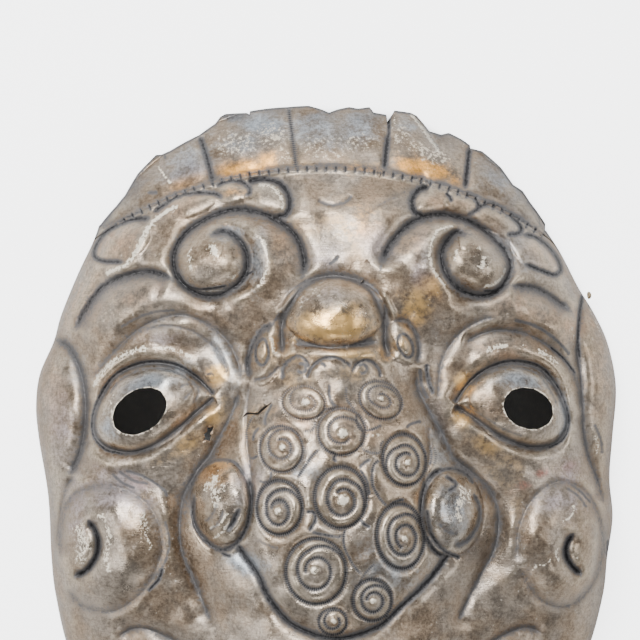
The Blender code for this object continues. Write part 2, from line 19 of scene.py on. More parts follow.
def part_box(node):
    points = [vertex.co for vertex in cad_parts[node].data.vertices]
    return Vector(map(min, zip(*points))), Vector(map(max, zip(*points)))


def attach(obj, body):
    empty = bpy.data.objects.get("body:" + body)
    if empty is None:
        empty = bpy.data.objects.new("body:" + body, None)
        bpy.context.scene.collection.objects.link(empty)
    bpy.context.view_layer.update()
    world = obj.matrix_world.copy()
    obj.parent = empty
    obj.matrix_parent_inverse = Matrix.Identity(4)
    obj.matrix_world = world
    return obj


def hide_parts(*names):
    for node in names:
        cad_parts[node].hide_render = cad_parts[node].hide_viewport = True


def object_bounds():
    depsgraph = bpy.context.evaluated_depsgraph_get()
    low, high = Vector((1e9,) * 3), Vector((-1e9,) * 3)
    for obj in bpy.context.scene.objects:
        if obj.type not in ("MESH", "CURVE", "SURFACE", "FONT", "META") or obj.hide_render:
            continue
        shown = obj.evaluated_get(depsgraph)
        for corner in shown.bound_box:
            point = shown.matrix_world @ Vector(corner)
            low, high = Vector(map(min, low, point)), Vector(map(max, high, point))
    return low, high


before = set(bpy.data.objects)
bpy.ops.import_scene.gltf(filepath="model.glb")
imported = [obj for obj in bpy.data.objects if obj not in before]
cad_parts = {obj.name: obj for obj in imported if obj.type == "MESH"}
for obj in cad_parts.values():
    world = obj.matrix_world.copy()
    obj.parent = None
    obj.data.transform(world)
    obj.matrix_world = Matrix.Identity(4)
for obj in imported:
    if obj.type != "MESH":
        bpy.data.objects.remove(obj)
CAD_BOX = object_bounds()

MM = 0.001
log = logging.getLogger("mask")


class Side(Enum):
    """The two faces of the silver sheet."""

    FRONT = 0
    BACK = 1


@dataclass(frozen=True)
class Mass:
    """A broad swelling: its middle, half sizes, turn in degrees, height and squareness."""

    x: float
    y: float
    half_x: float
    half_y: float
    turn: float
    height: float
    square: float = 1.2


@dataclass(frozen=True)
class Boss:
    """A swelling with a clear edge, round (0.5) or soft (1) in section."""

    x: float
    y: float
    half_x: float
    half_y: float
    turn: float
    height: float
    section: float = 0.7


@dataclass(frozen=True)
class Chase:
    """A chased line: its depth, how fast each wall rises, how dark it is, and whether it is punched."""

    path: tuple
    depth: float
    left: float = 3.0
    right: float = 3.0
    fade: float = 5.0
    dark: float = 1.0
    punched: bool = False


@dataclass(frozen=True)
class Rib:
    """A raised line through a few points."""

    path: tuple
    height: float
    width: float


@dataclass(frozen=True)
class RubAndHighlight:
    """A line of cream, partly where the silver is rubbed and partly a painted highlight on a ridge, fold or knob."""

    path: tuple
    width: float
    strength: float = 1.0


@dataclass(frozen=True)
class Stain:
    """A soft patch of one colour, such as gilding, bloom or soot."""

    x: float
    y: float
    half_x: float
    half_y: float
    turn: float
    strength: float


@dataclass(frozen=True)
class Curl:
    """A round curl of the muzzle: a ring, a knob, and a line that winds from the ring in to the knob.

    Sizes are the ring's half sizes, the knob's place is from the ring's middle, start is the direction in
    degrees where the winding line leaves the ring, and radii are its shares of the ring, a quarter turn apart.
    """

    x: float
    y: float
    half_x: float
    half_y: float
    turn: float
    knob: tuple
    start: float
    radii: tuple
    knob_size: float = 2.2
    depth: float = 2.1
    wall: float = 1.5
    dark: float = 1.05
    winding: int = 1

    def at(self, angle: np.ndarray, share: np.ndarray) -> tuple:
        """Points at a direction and a share of the ring, which close in on the knob.

        Args:
            angle: Directions in degrees.
            share: Shares of the ring's radius.

        Returns:
            The points, as pairs.
        """
        a, t = np.radians(angle), math.radians(self.turn)
        u, v = np.cos(a) * share * self.half_x, np.sin(a) * share * self.half_y
        x = self.x + u * math.cos(t) - v * math.sin(t) + self.knob[0] * (1 - share)
        y = self.y + u * math.sin(t) + v * math.cos(t) + self.knob[1] * (1 - share)
        return tuple(zip(x.tolist(), y.tolist()))

    def lines(self) -> tuple:
        """The ring and the winding line, as chased lines."""
        angle = np.linspace(0, 360, 19)
        ring = self.at(angle, np.ones_like(angle))
        steps = np.linspace(0, len(self.radii) - 1, 5 * (len(self.radii) - 1) + 1)
        share = np.interp(steps, np.arange(len(self.radii)), self.radii)
        coil = self.at(self.start + self.winding * 90 * steps, share)
        return (
            Chase(ring, self.depth, self.wall, self.wall, 0.01, self.dark, True),
            Chase(coil, 0.85 * self.depth, 0.85 * self.wall, 0.85 * self.wall, 1.5, self.dark, True),
        )


@dataclass(frozen=True)
class FacePart:
    """One part of the face, as the forms that raise it and the lines that cut it."""

    name: str
    masses: tuple = ()
    bosses: tuple = ()
    ribs: tuple = ()
    chases: tuple = ()
    rubs_and_highlights: tuple = ()


def fine(*path: tuple, depth: float = 0.45, reach: float = 0.6, dark: float = 0.75, punched: bool = False) -> Chase:
    """A fine chased line.

    Args:
        path: The points it runs through.
        depth: Its depth.
        reach: How fast its walls rise.
        dark: How dark it is.
        punched: Whether it is a row of dots.

    Returns:
        The line, with short ends.
    """
    return Chase(path, depth, reach, reach, 1.2, dark, punched)


CREST = FacePart(
    "crest",
    chases=(
        Chase(((-57, 147.6), (-54, 139), (-50.3, 125)), 3.0, 3.0, 3.0, 3, 0.9),
        Chase(((-16.8, 160.5), (-15, 146), (-13, 131)), 1.6, 1.3, 1.3, 3, 0.9, True),
        Chase(((28.0, 149), (27, 141), (26, 130.5)), 2.6, 2.6, 2.6, 4),
        Chase(((64.6, 143), (63.6, 134), (62.3, 122.5)), 3.0, 2.4, 2.4, 3),
        fine((-80.5, 121.5), (-75, 121.6), depth=0.8, reach=0.8),
        fine((-73, 140), (-72, 136), depth=0.6, dark=0.6),
        fine((28.8, 157), (28.3, 152), (28.2, 146), depth=0.9, reach=0.8, dark=1.0),
        Chase(((39.5, 157.0), (46.0, 148.5), (52.0, 139.5)), 1.6, 0.8, 5.0, 3, 0.35),
    ),
    # Cream on the crest's creases and folded corner: painted highlights along the fold ridges, partly rubbed silver.
    rubs_and_highlights=(
        RubAndHighlight(((-75.6, 133.7), (-72, 128.5), (-69.3, 125.1)), 0.7, 0.9),
        RubAndHighlight(((38.0, 157.5), (44.5, 149.0), (51.0, 139.5)), 1.1, 1.0),
        RubAndHighlight(((-97, 110), (-101, 104)), 0.7, 0.5),
        RubAndHighlight(((62.5, 146), (61.5, 142)), 1.0, 0.6),
        RubAndHighlight(((30.4, 158), (31, 150)), 0.6, 0.6),
    ),
)

BROWS = FacePart(
    "brows",
    masses=(
        Mass(-55, 88, 52, 30, 18, 13, 1.4),
        Mass(58, 90, 50, 30, -16, 13, 1.4),
        Mass(-92, 72, 26, 14, 35, 5, 1.0),
        Mass(95, 68, 26, 12, -32, 5, 1.0),
        Mass(4, 110, 60, 34, 0, 5),
        Mass(4, 94, 17, 16, 0, -4),
    ),
    bosses=(Boss(-50, 91, 17.5, 16.5, 0, 4), Boss(67, 90, 17, 15.5, 0, 4)),
    ribs=(
        Rib(((-35, 106), (-30.5, 101), (-27.3, 95), (-26.3, 87), (-28.5, 80.5), (-44, 71.5)), 2.2, 4),
        Rib(((60, 106.5), (52, 105), (47.5, 99.5), (46.6, 92), (48.2, 85.5), (60, 73.5)), 2.2, 4),
        Rib(((-74, 110), (-79, 106), (-82.3, 99.5), (-85, 93.5), (-90, 88), (-100, 85)), 2.4, 3),
    ),
    chases=(
        Chase(
            (
                (-54, 101), (-45, 104), (-37.5, 98.5), (-35, 89), (-39, 80.5), (-50, 75), (-61, 78), (-67.5, 86),
                (-67, 97), (-58, 107), (-42, 113.5), (-26, 111), (-14, 102.5), (-9.7, 91), (-11.3, 81),
            ),
            7.5, 4.2, 5.5, 9, 0.9,
        ),
        Chase(
            (
                (66, 101), (58, 103.5), (52, 95.5), (53, 86.5), (59, 78.5), (68, 75), (77, 77.5), (82.3, 86),
                (81, 94), (73, 103), (62, 109.3), (49, 111.5), (37, 107), (28, 97), (23.5, 86.5),
            ),
            7.5, 5.5, 4.2, 9, 0.9,
        ),
        Chase(((-113.5, 58.5), (-108, 69), (-100, 79.3), (-89, 84.5), (-77, 85.8), (-66.5, 81.5)), 7.0, 3.5, 7.0, 7, 0.8),
        Chase(((80, 79.5), (90, 79.3), (98, 76.5), (111.5, 67)), 6.0, 3.5, 6.0, 7, 0.7),
        fine((-66.5, 86), (-62.5, 80.5), (-57, 78.2), (-50, 78.6), (-44, 79.8), depth=1.2, reach=0.7, dark=1.0),
        fine((-41, 79), (-37, 82.5), (-36, 84), (-32, 86.5), depth=0.8, dark=1.0),
        fine((70, 77.4), (75, 77.6), (80, 79.6), depth=1.2, reach=0.7, dark=1.0),
        fine((-4, 118), (2, 115.8), (8, 116.6), (12, 120), depth=1.0, reach=1.5, dark=0.5),
        fine((1, 89), (3.5, 90.5), (6, 93.5), depth=0.9, reach=0.9, dark=0.7),
        fine((24, 86), (25.5, 92), (27.5, 97), depth=0.6, reach=1.0, dark=0.5),
        fine((-33, 95), (-31, 97), (-29, 101), depth=0.3, dark=0.3),
        fine((17, 112), (27, 117.5), (36, 122), depth=0.35, reach=0.8, dark=0.3),
    ),
    # Cream on the brow rolls, their edges and the scroll knobs: painted highlights, partly rubbed silver.
    rubs_and_highlights=(
        RubAndHighlight(((-66, 115.5), (-73, 112), (-78.5, 107), (-82.5, 100), (-85.5, 94), (-90, 89), (-99, 85)), 1.3, 1.0),
        RubAndHighlight(((-29.5, 102), (-26.8, 96), (-26, 90), (-27.5, 84), (-31.5, 78)), 0.9, 0.8),
        RubAndHighlight(((57.5, 106.5), (50.5, 104.5), (47, 99), (46.4, 92), (49, 85), (53.5, 79.5)), 0.8, 1.0),
        RubAndHighlight(((80.5, 88), (79, 84), (75, 80.3), (70, 79.2)), 0.9, 1.0),
        RubAndHighlight(((-66.5, 85), (-62, 80.5), (-56, 77.6), (-46, 77.4), (-40, 78)), 0.6, 0.9),
        RubAndHighlight(((-50.5, 98.5), (-50, 95), (-49.2, 91.8)), 2.2, 1.0),
        RubAndHighlight(((-60.5, 97), (-61, 90), (-60, 85.5)), 1.2, 0.6),
        RubAndHighlight(((-38.5, 87.5), (-40, 84.5), (-42.5, 82)), 1.0, 0.7),
        RubAndHighlight(((71.5, 93), (70.5, 90.5), (68, 87.5)), 2.4, 0.9),
        RubAndHighlight(((58.5, 97), (57.8, 93), (58.2, 89.8)), 1.3, 0.7),
        RubAndHighlight(((64, 99), (67, 97.6), (70, 95)), 0.8, 0.6),
    ),
)

LOBES = FacePart(
    "lobes",
    bosses=(
        Boss(-92, 99.5, 14, 9, 20, 3, 0.8),
        Boss(95, 94, 15, 8, -38, 3, 0.8),
        Boss(-27, 118, 10, 8.5, -20, 2.0, 0.8),
        Boss(-42, 121.5, 8, 5, 8, 1.4, 0.8),
        Boss(-62, 116, 14, 6, 16, 1.5, 0.8),
        Boss(47, 117, 8, 6.5, 0, 1.8, 0.8),
        Boss(60, 116, 8, 5, -8, 1.6, 0.8),
        Boss(77, 108, 12, 6, -28, 1.8, 0.8),
    ),
    chases=(
        Chase(((-36, 126), (-28, 127.3), (-21, 125.5), (-17, 120.5), (-16.3, 115), (-18.5, 111), (-23.5, 111)),
              4.5, 3.5, 3, 3),
        Chase(((-50, 124), (-44, 126.5), (-38, 126.3), (-34.5, 123.7), (-34.5, 121), (-37, 120.3)),
              2.0, 2.2, 2.2, 3, 0.9),
        Chase(((-78, 112), (-68, 119), (-60, 121.2), (-52, 121.3), (-47.5, 119.8), (-47.2, 117.6)),
              2.2, 2.2, 2.2, 3, 0.9),
        Chase(((-78, 110), (-87, 109.3), (-95, 106), (-101, 101.5), (-104.2, 94.7), (-101, 91), (-90, 90.2)),
              3.2, 2.2, 2.2, 3, 0.9),
        Chase(((47, 124), (41.5, 122.5), (38.5, 117.5), (40, 112.5), (45, 110.5)), 4.5, 3, 4, 3),
        fine((53.5, 121.5), (55.2, 119.5), (56.5, 117), depth=1.4, reach=1.2, dark=1.0),
        Chase(((61, 121), (67, 118.5), (67.7, 114), (62.5, 111)), 2.2, 2.2, 2.2, 3, 0.9),
        Chase(((66, 112), (70, 115.5), (76, 115.5), (83, 110.7), (87.5, 105.8), (85.5, 102.8), (80, 102.8)),
              2.6, 2.2, 2.6, 3, 0.9),
        Chase(((87, 102.6), (93, 101.8), (99, 98), (103.8, 92), (105.3, 87), (102.5, 84.6), (97.5, 86), (88, 90)),
              2.8, 2.2, 2.2, 4, 0.9),
    ),
    # Cream on the lobes' rims: painted highlights, partly rubbed silver.
    rubs_and_highlights=(
        RubAndHighlight(((-31, 125), (-26, 124.6), (-21.5, 121.5), (-19.5, 117), (-20.3, 113.5)), 1.2, 0.95),
        RubAndHighlight(((-66, 115), (-70, 113.5), (-74, 111)), 1.2, 0.6),
        RubAndHighlight(((86, 105), (84, 108.5)), 0.8, 0.6),
        RubAndHighlight(((101, 86.5), (103.5, 89), (102, 93)), 0.5, 0.5),
    ),
)

EYES = FacePart(
    "eyes",
    masses=(Mass(-80, 24, 30, 22, 24, 5), Mass(86, 25, 30, 22, -22, 5)),
    bosses=(Boss(-81, 24, 24, 17, 26, 5), Boss(86, 26, 23, 17, -22, 5)),
    ribs=(
        Rib(((-106, 26), (-103.5, 36), (-96.5, 43.2), (-87, 47.7), (-76, 49.7), (-55, 42)), 1.6, 3.5),
        Rib(((61, 40), (69, 47), (79, 50.3), (91, 50), (101.5, 44.8), (107.5, 37.5), (112, 18)), 1.6, 3.5),
        Rib(((-107, 10), (-102, 2.5), (-93, -0.2), (-82, 2), (-70, 8), (-51, 25)), 1.8, 3.5),
        Rib(((59, 21), (68, 14.5), (79, 7.5), (92, 3.5), (103, 4.5)), 1.2, 3.0),
    ),
    chases=(
        Chase(((-106, 36), (-101, 43), (-90, 55), (-79, 63), (-66, 66.5), (-55, 63.5), (-45, 56), (-39.5, 46),
               (-38, 36)), 3.2, 4, 3, 8, 0.45),
        Chase(((-96, 52), (-84, 59), (-72, 61.8), (-60, 59.5), (-50, 52), (-45, 44), (-43.5, 36)),
              1.4, 2.0, 2.0, 8, 0.4),
        fine((-92, 61), (-84, 65.5), (-76, 68), (-67, 68.8), depth=0.5, reach=0.9, dark=0.5),
        Chase(((50.2, 26), (50.5, 40), (53, 49), (60, 58.5), (70, 64.5), (79, 65.8)), 2.6, 4, 3, 8, 0.45),
        Chase(((60, 51), (66, 56.5), (76, 59.7), (88, 58.5), (99, 53), (108, 44.5), (113.3, 34), (114.4, 20)),
              4.2, 4, 3, 8, 0.45),
        fine((100, 52.5), (106.5, 47), (112, 40), depth=0.7, reach=0.8, dark=1.0),
        fine((84, 64.5), (94, 61.5), (103, 55.5), (109.5, 48.5), depth=0.6, reach=0.9, dark=0.7),
        Chase(((-49.5, 30.3), (-58, 38.5), (-68, 44), (-81, 44.8), (-93, 40), (-100, 31), (-103.8, 20.5),
               (-103.2, 12.5), (-98, 7.2), (-88, 5.2), (-78, 8), (-68, 14.5), (-58.5, 22.5), (-49.5, 30.3)),
              4.8, 2.2, 3.4, 2, 0.6),
        fine((-50, 31), (-58, 39.3), (-68, 44.9), (-81, 45.7), (-93.5, 40.6), (-100.8, 31.5), (-104.6, 21), (-104, 12.3),
             (-98.5, 6.3), (-90, 4.4), depth=0.8, reach=0.7, dark=0.9),
        fine((-53, 31.5), (-60, 37), (-69, 42), (-80, 42.6), (-91, 38.2), (-97, 31), depth=0.4, reach=0.7, dark=0.45),
        Chase(((57, 26.5), (63, 35), (71, 41.5), (82, 45.2), (94, 43.3), (101, 37), (106, 27), (107.9, 18.5),
               (105, 11.5), (99, 7.8), (90, 7.8), (78, 12.5), (67, 20), (57, 26.5)), 4.8, 3.4, 2.2, 2, 0.6),
        fine((57.5, 27.5), (63, 35.8), (71, 42.4), (82, 46.1), (94.5, 44.2), (101.8, 37.5), (107, 27.3), (108.8, 18),
             (106, 10.8), (99, 6.8), depth=0.8, reach=0.7, dark=0.9),
        fine((62, 31.5), (71, 39.4), (82, 43), (93, 41), (99, 35), (103.5, 26.5), depth=0.4, reach=0.7, dark=0.45),
        fine((-66, 34), (-61, 36), (-57.5, 34.5), (-57, 31), (-60, 26.5), depth=0.5, reach=0.9, dark=0.45),
        fine((-64, 28), (-60.5, 32), (-58, 35), depth=0.4, reach=0.8, dark=0.4),
        fine((62, 26), (70, 21.5), (80, 15.5), (88, 12.5), depth=0.3, reach=0.5, dark=0.4),
        fine((-54, 40), (-51.5, 40.3), (-49.5, 39.6), depth=0.3, reach=0.4, dark=0.5),
    ),
    # Cream on the upper lid rolls: painted highlights, partly rubbed silver.
    rubs_and_highlights=(
        RubAndHighlight(((-104.0, 34), (-101.0, 40), (-95, 46.0), (-86.5, 50.3), (-80, 51.6)), 1.7, 0.85),
        RubAndHighlight(((-78, 51.8), (-70, 51.4), (-62, 48.5), (-57.5, 45.5)), 1.3, 0.75),
        RubAndHighlight(((71, 50.5), (78, 52.6), (82, 52.6)), 1.5, 0.9),
        RubAndHighlight(((87, 52.8), (90, 52.6)), 1.6, 0.7),
        RubAndHighlight(((94, 51.5), (99, 48.5), (104.5, 44)), 1.6, 0.8),
        RubAndHighlight(((-94.8, 32.3), (-96.2, 26), (-95, 20.5), (-91.8, 14.8)), 0.7, 0.6),
    ),
)

BRIDGE = FacePart(
    "bridge",
    masses=(Mass(4, 58, 30, 30, 0, 13), Mass(5.5, 50, 23, 3.6, -3, 2.5, 1.6)),
    bosses=(
        Boss(3.5, 68, 23, 15.8, 0, 9, 0.6),
        Boss(-27, 49, 7.5, 14.5, -10, 3),
        Boss(34, 54, 7, 10.5, 28, 3),
        Boss(-28.5, 50.5, 2.4, 4.4, -8, 1.4, 0.6),
        Boss(35.5, 53, 2.4, 4.4, 25, 1.6, 0.6),
    ),
    ribs=(
        Rib(((-11, 79.6), (-17, 72.5), (-23, 65)), 2.6, 1.5),
        Rib(((24, 79), (28, 71), (31.6, 64)), 2.6, 1.5),
        Rib(((-25.6, 57.5), (-24.2, 53), (-23.4, 47)), 1.5, 1.1),
        Rib(((30.6, 58), (32, 53), (36, 49)), 1.4, 1.0),
    ),
    chases=(
        Chase(((-19.5, 48), (-19.5, 62), (-16, 71), (-10, 79), (0, 83.6), (10, 82.8), (18.5, 78.5), (23, 72),
               (26, 63), (26.5, 53), (28.5, 45)), 5.5, 4.5, 3.0, 5, 0.6),
        Chase(((-17, 54), (-8, 53), (4, 53), (16, 53.5), (25.5, 56)), 3.0, 2.5, 4, 5, 0.35),
        Chase(((-22.5, 63), (-28.5, 60), (-33, 53), (-35, 45), (-34, 37.5)), 3.5, 3, 2.5, 4, 0.8),
        fine((-33, 37.5), (-26, 39), (-20.5, 44), depth=1.2, reach=1.4, dark=0.5),
        Chase(((29, 64), (36, 63.8), (40.5, 57.5), (41.5, 50), (40, 44)), 3.0, 2.5, 3, 4, 0.65),
        fine((-27.5, 56.6), (-30.6, 54), (-31.5, 49.5), (-30.6, 45.6), (-28, 44.2), (-26, 47), (-25.6, 51),
             (-27.5, 56.6), depth=0.9, reach=0.7, dark=0.8),
        fine((33.5, 58.5), (31.8, 55), (33, 51), (36, 47.6), (38.6, 48.8), (38.6, 53), (36.5, 57), (33.5, 58.5),
             depth=0.9, reach=0.7, dark=0.8),
        fine((-20.5, 68), (-24, 62), (-26.5, 58.5), depth=0.8, reach=0.9, dark=0.6),
        fine((45, 45), (45.5, 38), (48, 31), depth=1.3, reach=1.5, dark=0.9),
        fine((42, 43), (42.6, 36), (45.5, 29), depth=1.0, reach=1.2, dark=0.7),
    ),
    # Cream on the eyelets' rims and the straps: painted highlights, partly rubbed silver.
    rubs_and_highlights=(
        RubAndHighlight(((-24.6, 57), (-23.6, 53), (-22.6, 48.5)), 1.0, 0.9),
        RubAndHighlight(((-14, 70), (-8, 76), (-2, 79)), 1.6, 0.35),
        RubAndHighlight(((34.6, 51), (36.4, 49)), 1.0, 0.9),
        RubAndHighlight(((-13, 74.5), (-19, 67.5)), 1.0, 0.6),
        RubAndHighlight(((24, 64), (25, 58)), 1.0, 0.5),
    ),
)

MUZZLE = FacePart(
    "muzzle",
    masses=(Mass(4, -38, 50, 82, 0, 30, 1.6),),
    chases=(
        Chase(((-38.5, 36), (-41, 25), (-47, 13), (-52, 4), (-58.5, -5), (-63.5, -14), (-65.5, -27), (-64.5, -39),
               (-60, -50), (-50, -74)), 5.5, 5, 5, 9, 0.3),
        Chase(((40.5, 44), (41, 34), (46, 24), (52, 13), (57, 3), (64, -3), (71.5, -9.5), (76.5, -19), (77, -30),
               (74.5, -40), (69, -50), (57, -74)), 6.0, 5, 5, 9, 0.22),
        Chase(((-34, 37), (-35.5, 22), (-35, 8), (-33.6, -3), (-33.2, -15), (-35.5, -25), (-41, -35)),
              2.6, 3, 3, 5, 0.3),
        Chase(((45.5, 20), (46.5, 6), (44, -8), (43.2, -18), (45, -30), (54, -40)), 3.0, 3, 3, 5, 0.3),
        Chase(((-41, -34), (-35.5, -42), (-30, -50), (-24.5, -61), (-14, -72), (4, -77.5), (22, -73), (34, -63),
               (47.5, -50), (55, -39)), 5.0, 3.4, 3.4, 6),
        Chase(((-19.3, 37), (-19.2, 43), (-15.5, 47), (-11.8, 48.3), (-8.8, 46), (-7.4, 42.5)), 1.3, 1.1, 1.1, 2, 0.7),
        Chase(((-8.8, 38), (-6.5, 43), (-2, 46.8), (3, 47.8), (8, 46.2), (11.5, 43)), 1.5, 1.1, 1.1, 2, 0.7),
        Chase(((11, 40.5), (13.5, 44.5), (17.5, 46.5), (21.5, 45), (24, 41.5), (24, 38)), 1.5, 1.1, 1.1, 2, 0.7),
        fine((-12.6, 45), (-9.4, 44.4), (-9.2, 41.8), (-11.6, 41), (-13, 42.6)),
        fine((14, 44), (17, 44.4), (18.4, 42.2), (16.6, 40.6), (14.8, 41.4)),
        fine((-3, 45), (-1.2, 44.8), (0, 43)),
        fine((1.5, 36), (1.5, 31), (3, 27), (6, 25.5)),
        fine((9, 35), (9, 30), (10.5, 27), (13, 24), punched=True),
        fine((-13, -6.3), (-7.5, 2), (-3, 7), punched=True, depth=0.6, dark=0.9),
        fine((-27, 17), (-27, 21), (-24, 27.3)),
        fine((-35.3, 10.5), (-35.5, 15), (-33.5, 20), (-31.5, 22.5), punched=True),
        fine((-32.5, 10), (-32, 13.5), (-29.5, 16.8)),
        fine((-34.5, 2.5), (-32, 3), (-30, 4.2)),
        fine((-30, -7), (-27.5, -8), (-25, -7), (-24.5, -4), (-24.5, -2.5)),
        fine((-10, 15), (-7, 15), (-5, 17), (-5, 19.5), punched=True),
        fine((-11, 20), (-6, 20.2), punched=True),
        fine((-4.5, 20), (-2.5, 22.5), (0, 24.5), (5, 25.3), punched=True, dark=0.9),
        fine((13.5, 24), (13.5, 20.5), (14, 17.5), (16, 15.2), (20, 15.5), (25, 17.5), punched=True, dark=0.9),
        fine((16, 14.5), (15.5, 10), (16.5, 7), (20, 5.2), (24, 5.5), (24.5, 9), (26, 11), punched=True),
        fine((36, 15.5), (37, 17.5), (41, 19), (43, 18.5)),
        fine((46, 9), (47, 4), (46, -1), punched=True, dark=0.9),
        fine((48, 8), (49, 3.5), (48, -1), punched=True, dark=0.6),
        fine((1.5, 5.8), (4, 4.5), (3.5, 2.5), (5, 1), depth=0.9, reach=0.9, dark=1.0),
        fine((24, 2), (21.5, 0), (20.5, -5), (21, -10), (23.5, -14.5), (27, -18.5), punched=True, depth=0.9,
             reach=0.9, dark=1.0),
        fine((15, -2), (16, 0), (20, 2.5), dark=0.9),
        fine((28, -18.5), (31, -16.5), (35, -15.5), depth=0.8, dark=1.0),
        fine((15, -2), (18, -7), (19, -12), (19.5, -14), dark=0.9),
        fine((15, -24), (17, -26.5), (20, -28), depth=0.8, reach=0.8, dark=1.0),
        fine((9, -28.5), (8, -31), (8, -36), (10, -41), (13, -46), (16, -49), punched=True, depth=0.8, dark=1.0),
        fine((-9, -21.5), (-6, -21), (-4.5, -24), (-6.5, -28), (-7.5, -30), depth=0.9, reach=0.8, dark=1.0),
        fine((-6.5, -30), (-2, -31), (4, -32), (8, -31.5), depth=0.6, dark=0.9),
        fine((-32, -33), (-26, -36), (-20, -38), depth=0.3, dark=0.4),
        fine((22, -44), (17, -49), (14, -55), punched=True, depth=0.6),
    ),
    # Cream on the curls' ridges: painted highlights, partly rubbed silver.
    rubs_and_highlights=(
        RubAndHighlight(((-12, 6), (-6.5, 11), (-8, 16)), 1.3, 0.5),
        RubAndHighlight(((16, 12.2), (20.5, 13.2), (26, 12)), 1.2, 0.45),
        RubAndHighlight(((-10.5, -8), (-8.5, -14), (-9.5, -20)), 1.4, 0.5),
        RubAndHighlight(((18.5, 0), (15.5, -4.5), (19, -9)), 1.0, 0.4),
        RubAndHighlight(((8, -29.5), (13, -28), (17, -24)), 1.0, 0.5),
    ),
)

NOSTRILS = FacePart(
    "nostrils",
    bosses=(Boss(-47, -16.5, 13.5, 19.5, 5, 10, 0.8), Boss(56.5, -22, 14, 19.5, -3, 10, 0.8)),
    chases=(
        Chase(((-38, -18), (-41, -25), (-45, -31)), 3.0, 2.5, 2.0, 5, 0.9),
        fine((-60, -10), (-57, -3.5), (-50, 1.5), (-41, 1), (-36.5, -5), depth=0.9, reach=1.2, dark=0.7),
        Chase(((-58.6, -12), (-59.4, -24), (-55.8, -32), (-48.3, -38), (-41.5, -36.5), (-35.6, -28.5), (-33.2, -15),
               (-35, -4)), 3.2, 2.0, 1.8, 6, 0.85),
        fine((-47, -39), (-45, -40.3), (-42, -41), depth=0.9, reach=0.8, dark=1.0),
        fine((-52, -30), (-48, -26), (-45.5, -20), depth=0.5, reach=0.9, dark=0.5),
        fine((-54, -26), (-50.5, -22), (-48.5, -17), depth=0.5, reach=0.9, dark=0.4),
        Chase(((65, -12), (68.5, -19), (68, -27), (63, -34), (56, -37)), 2.6, 2.0, 2.0, 4, 0.7),
        Chase(((53.5, -1.5), (46, -6), (42.6, -16), (43, -28), (48, -38), (55, -42.5)), 3.0, 1.8, 2.2, 5, 0.9),
        fine((44, -12), (48, -5), (55, -2), (62, -4), (66, -9), depth=1.0, reach=1.2, dark=0.8),
        fine((53, -5), (58, -9), (54, -12), depth=1.0, reach=1.1, dark=1.0),
        fine((45, -20), (46.5, -30), (52, -38), (60, -42), depth=1.2, reach=1.3, dark=0.9),
        fine((50, -26), (54, -30), (59, -31), depth=0.6, reach=1.2, dark=0.5),
        fine((55, -40), (51, -45), (46, -51), depth=1.6, reach=1.2, dark=1.0),
    ),
    # Cream streaks on the nostril wings: painted highlights, partly rubbed silver.
    rubs_and_highlights=(
        RubAndHighlight(((-52, -7), (-54.5, -12.5)), 1.2, 0.8),
        RubAndHighlight(((-49, -4), (-50.5, -10), (-48.5, -15), (-49.5, -20)), 2.2, 0.85),
        RubAndHighlight(((-46.5, -8), (-45.5, -13)), 1.2, 0.8),
        RubAndHighlight(((-43.5, -21), (-47, -26), (-52, -29)), 0.9, 0.85),
        RubAndHighlight(((-42.5, -25), (-46, -30), (-50.5, -33)), 0.9, 0.85),
        RubAndHighlight(((59.5, -9), (61, -14), (58.5, -20), (60.5, -26)), 1.8, 0.85),
        RubAndHighlight(((64.5, -10), (63.5, -14), (64.5, -18)), 1.0, 0.8),
    ),
)

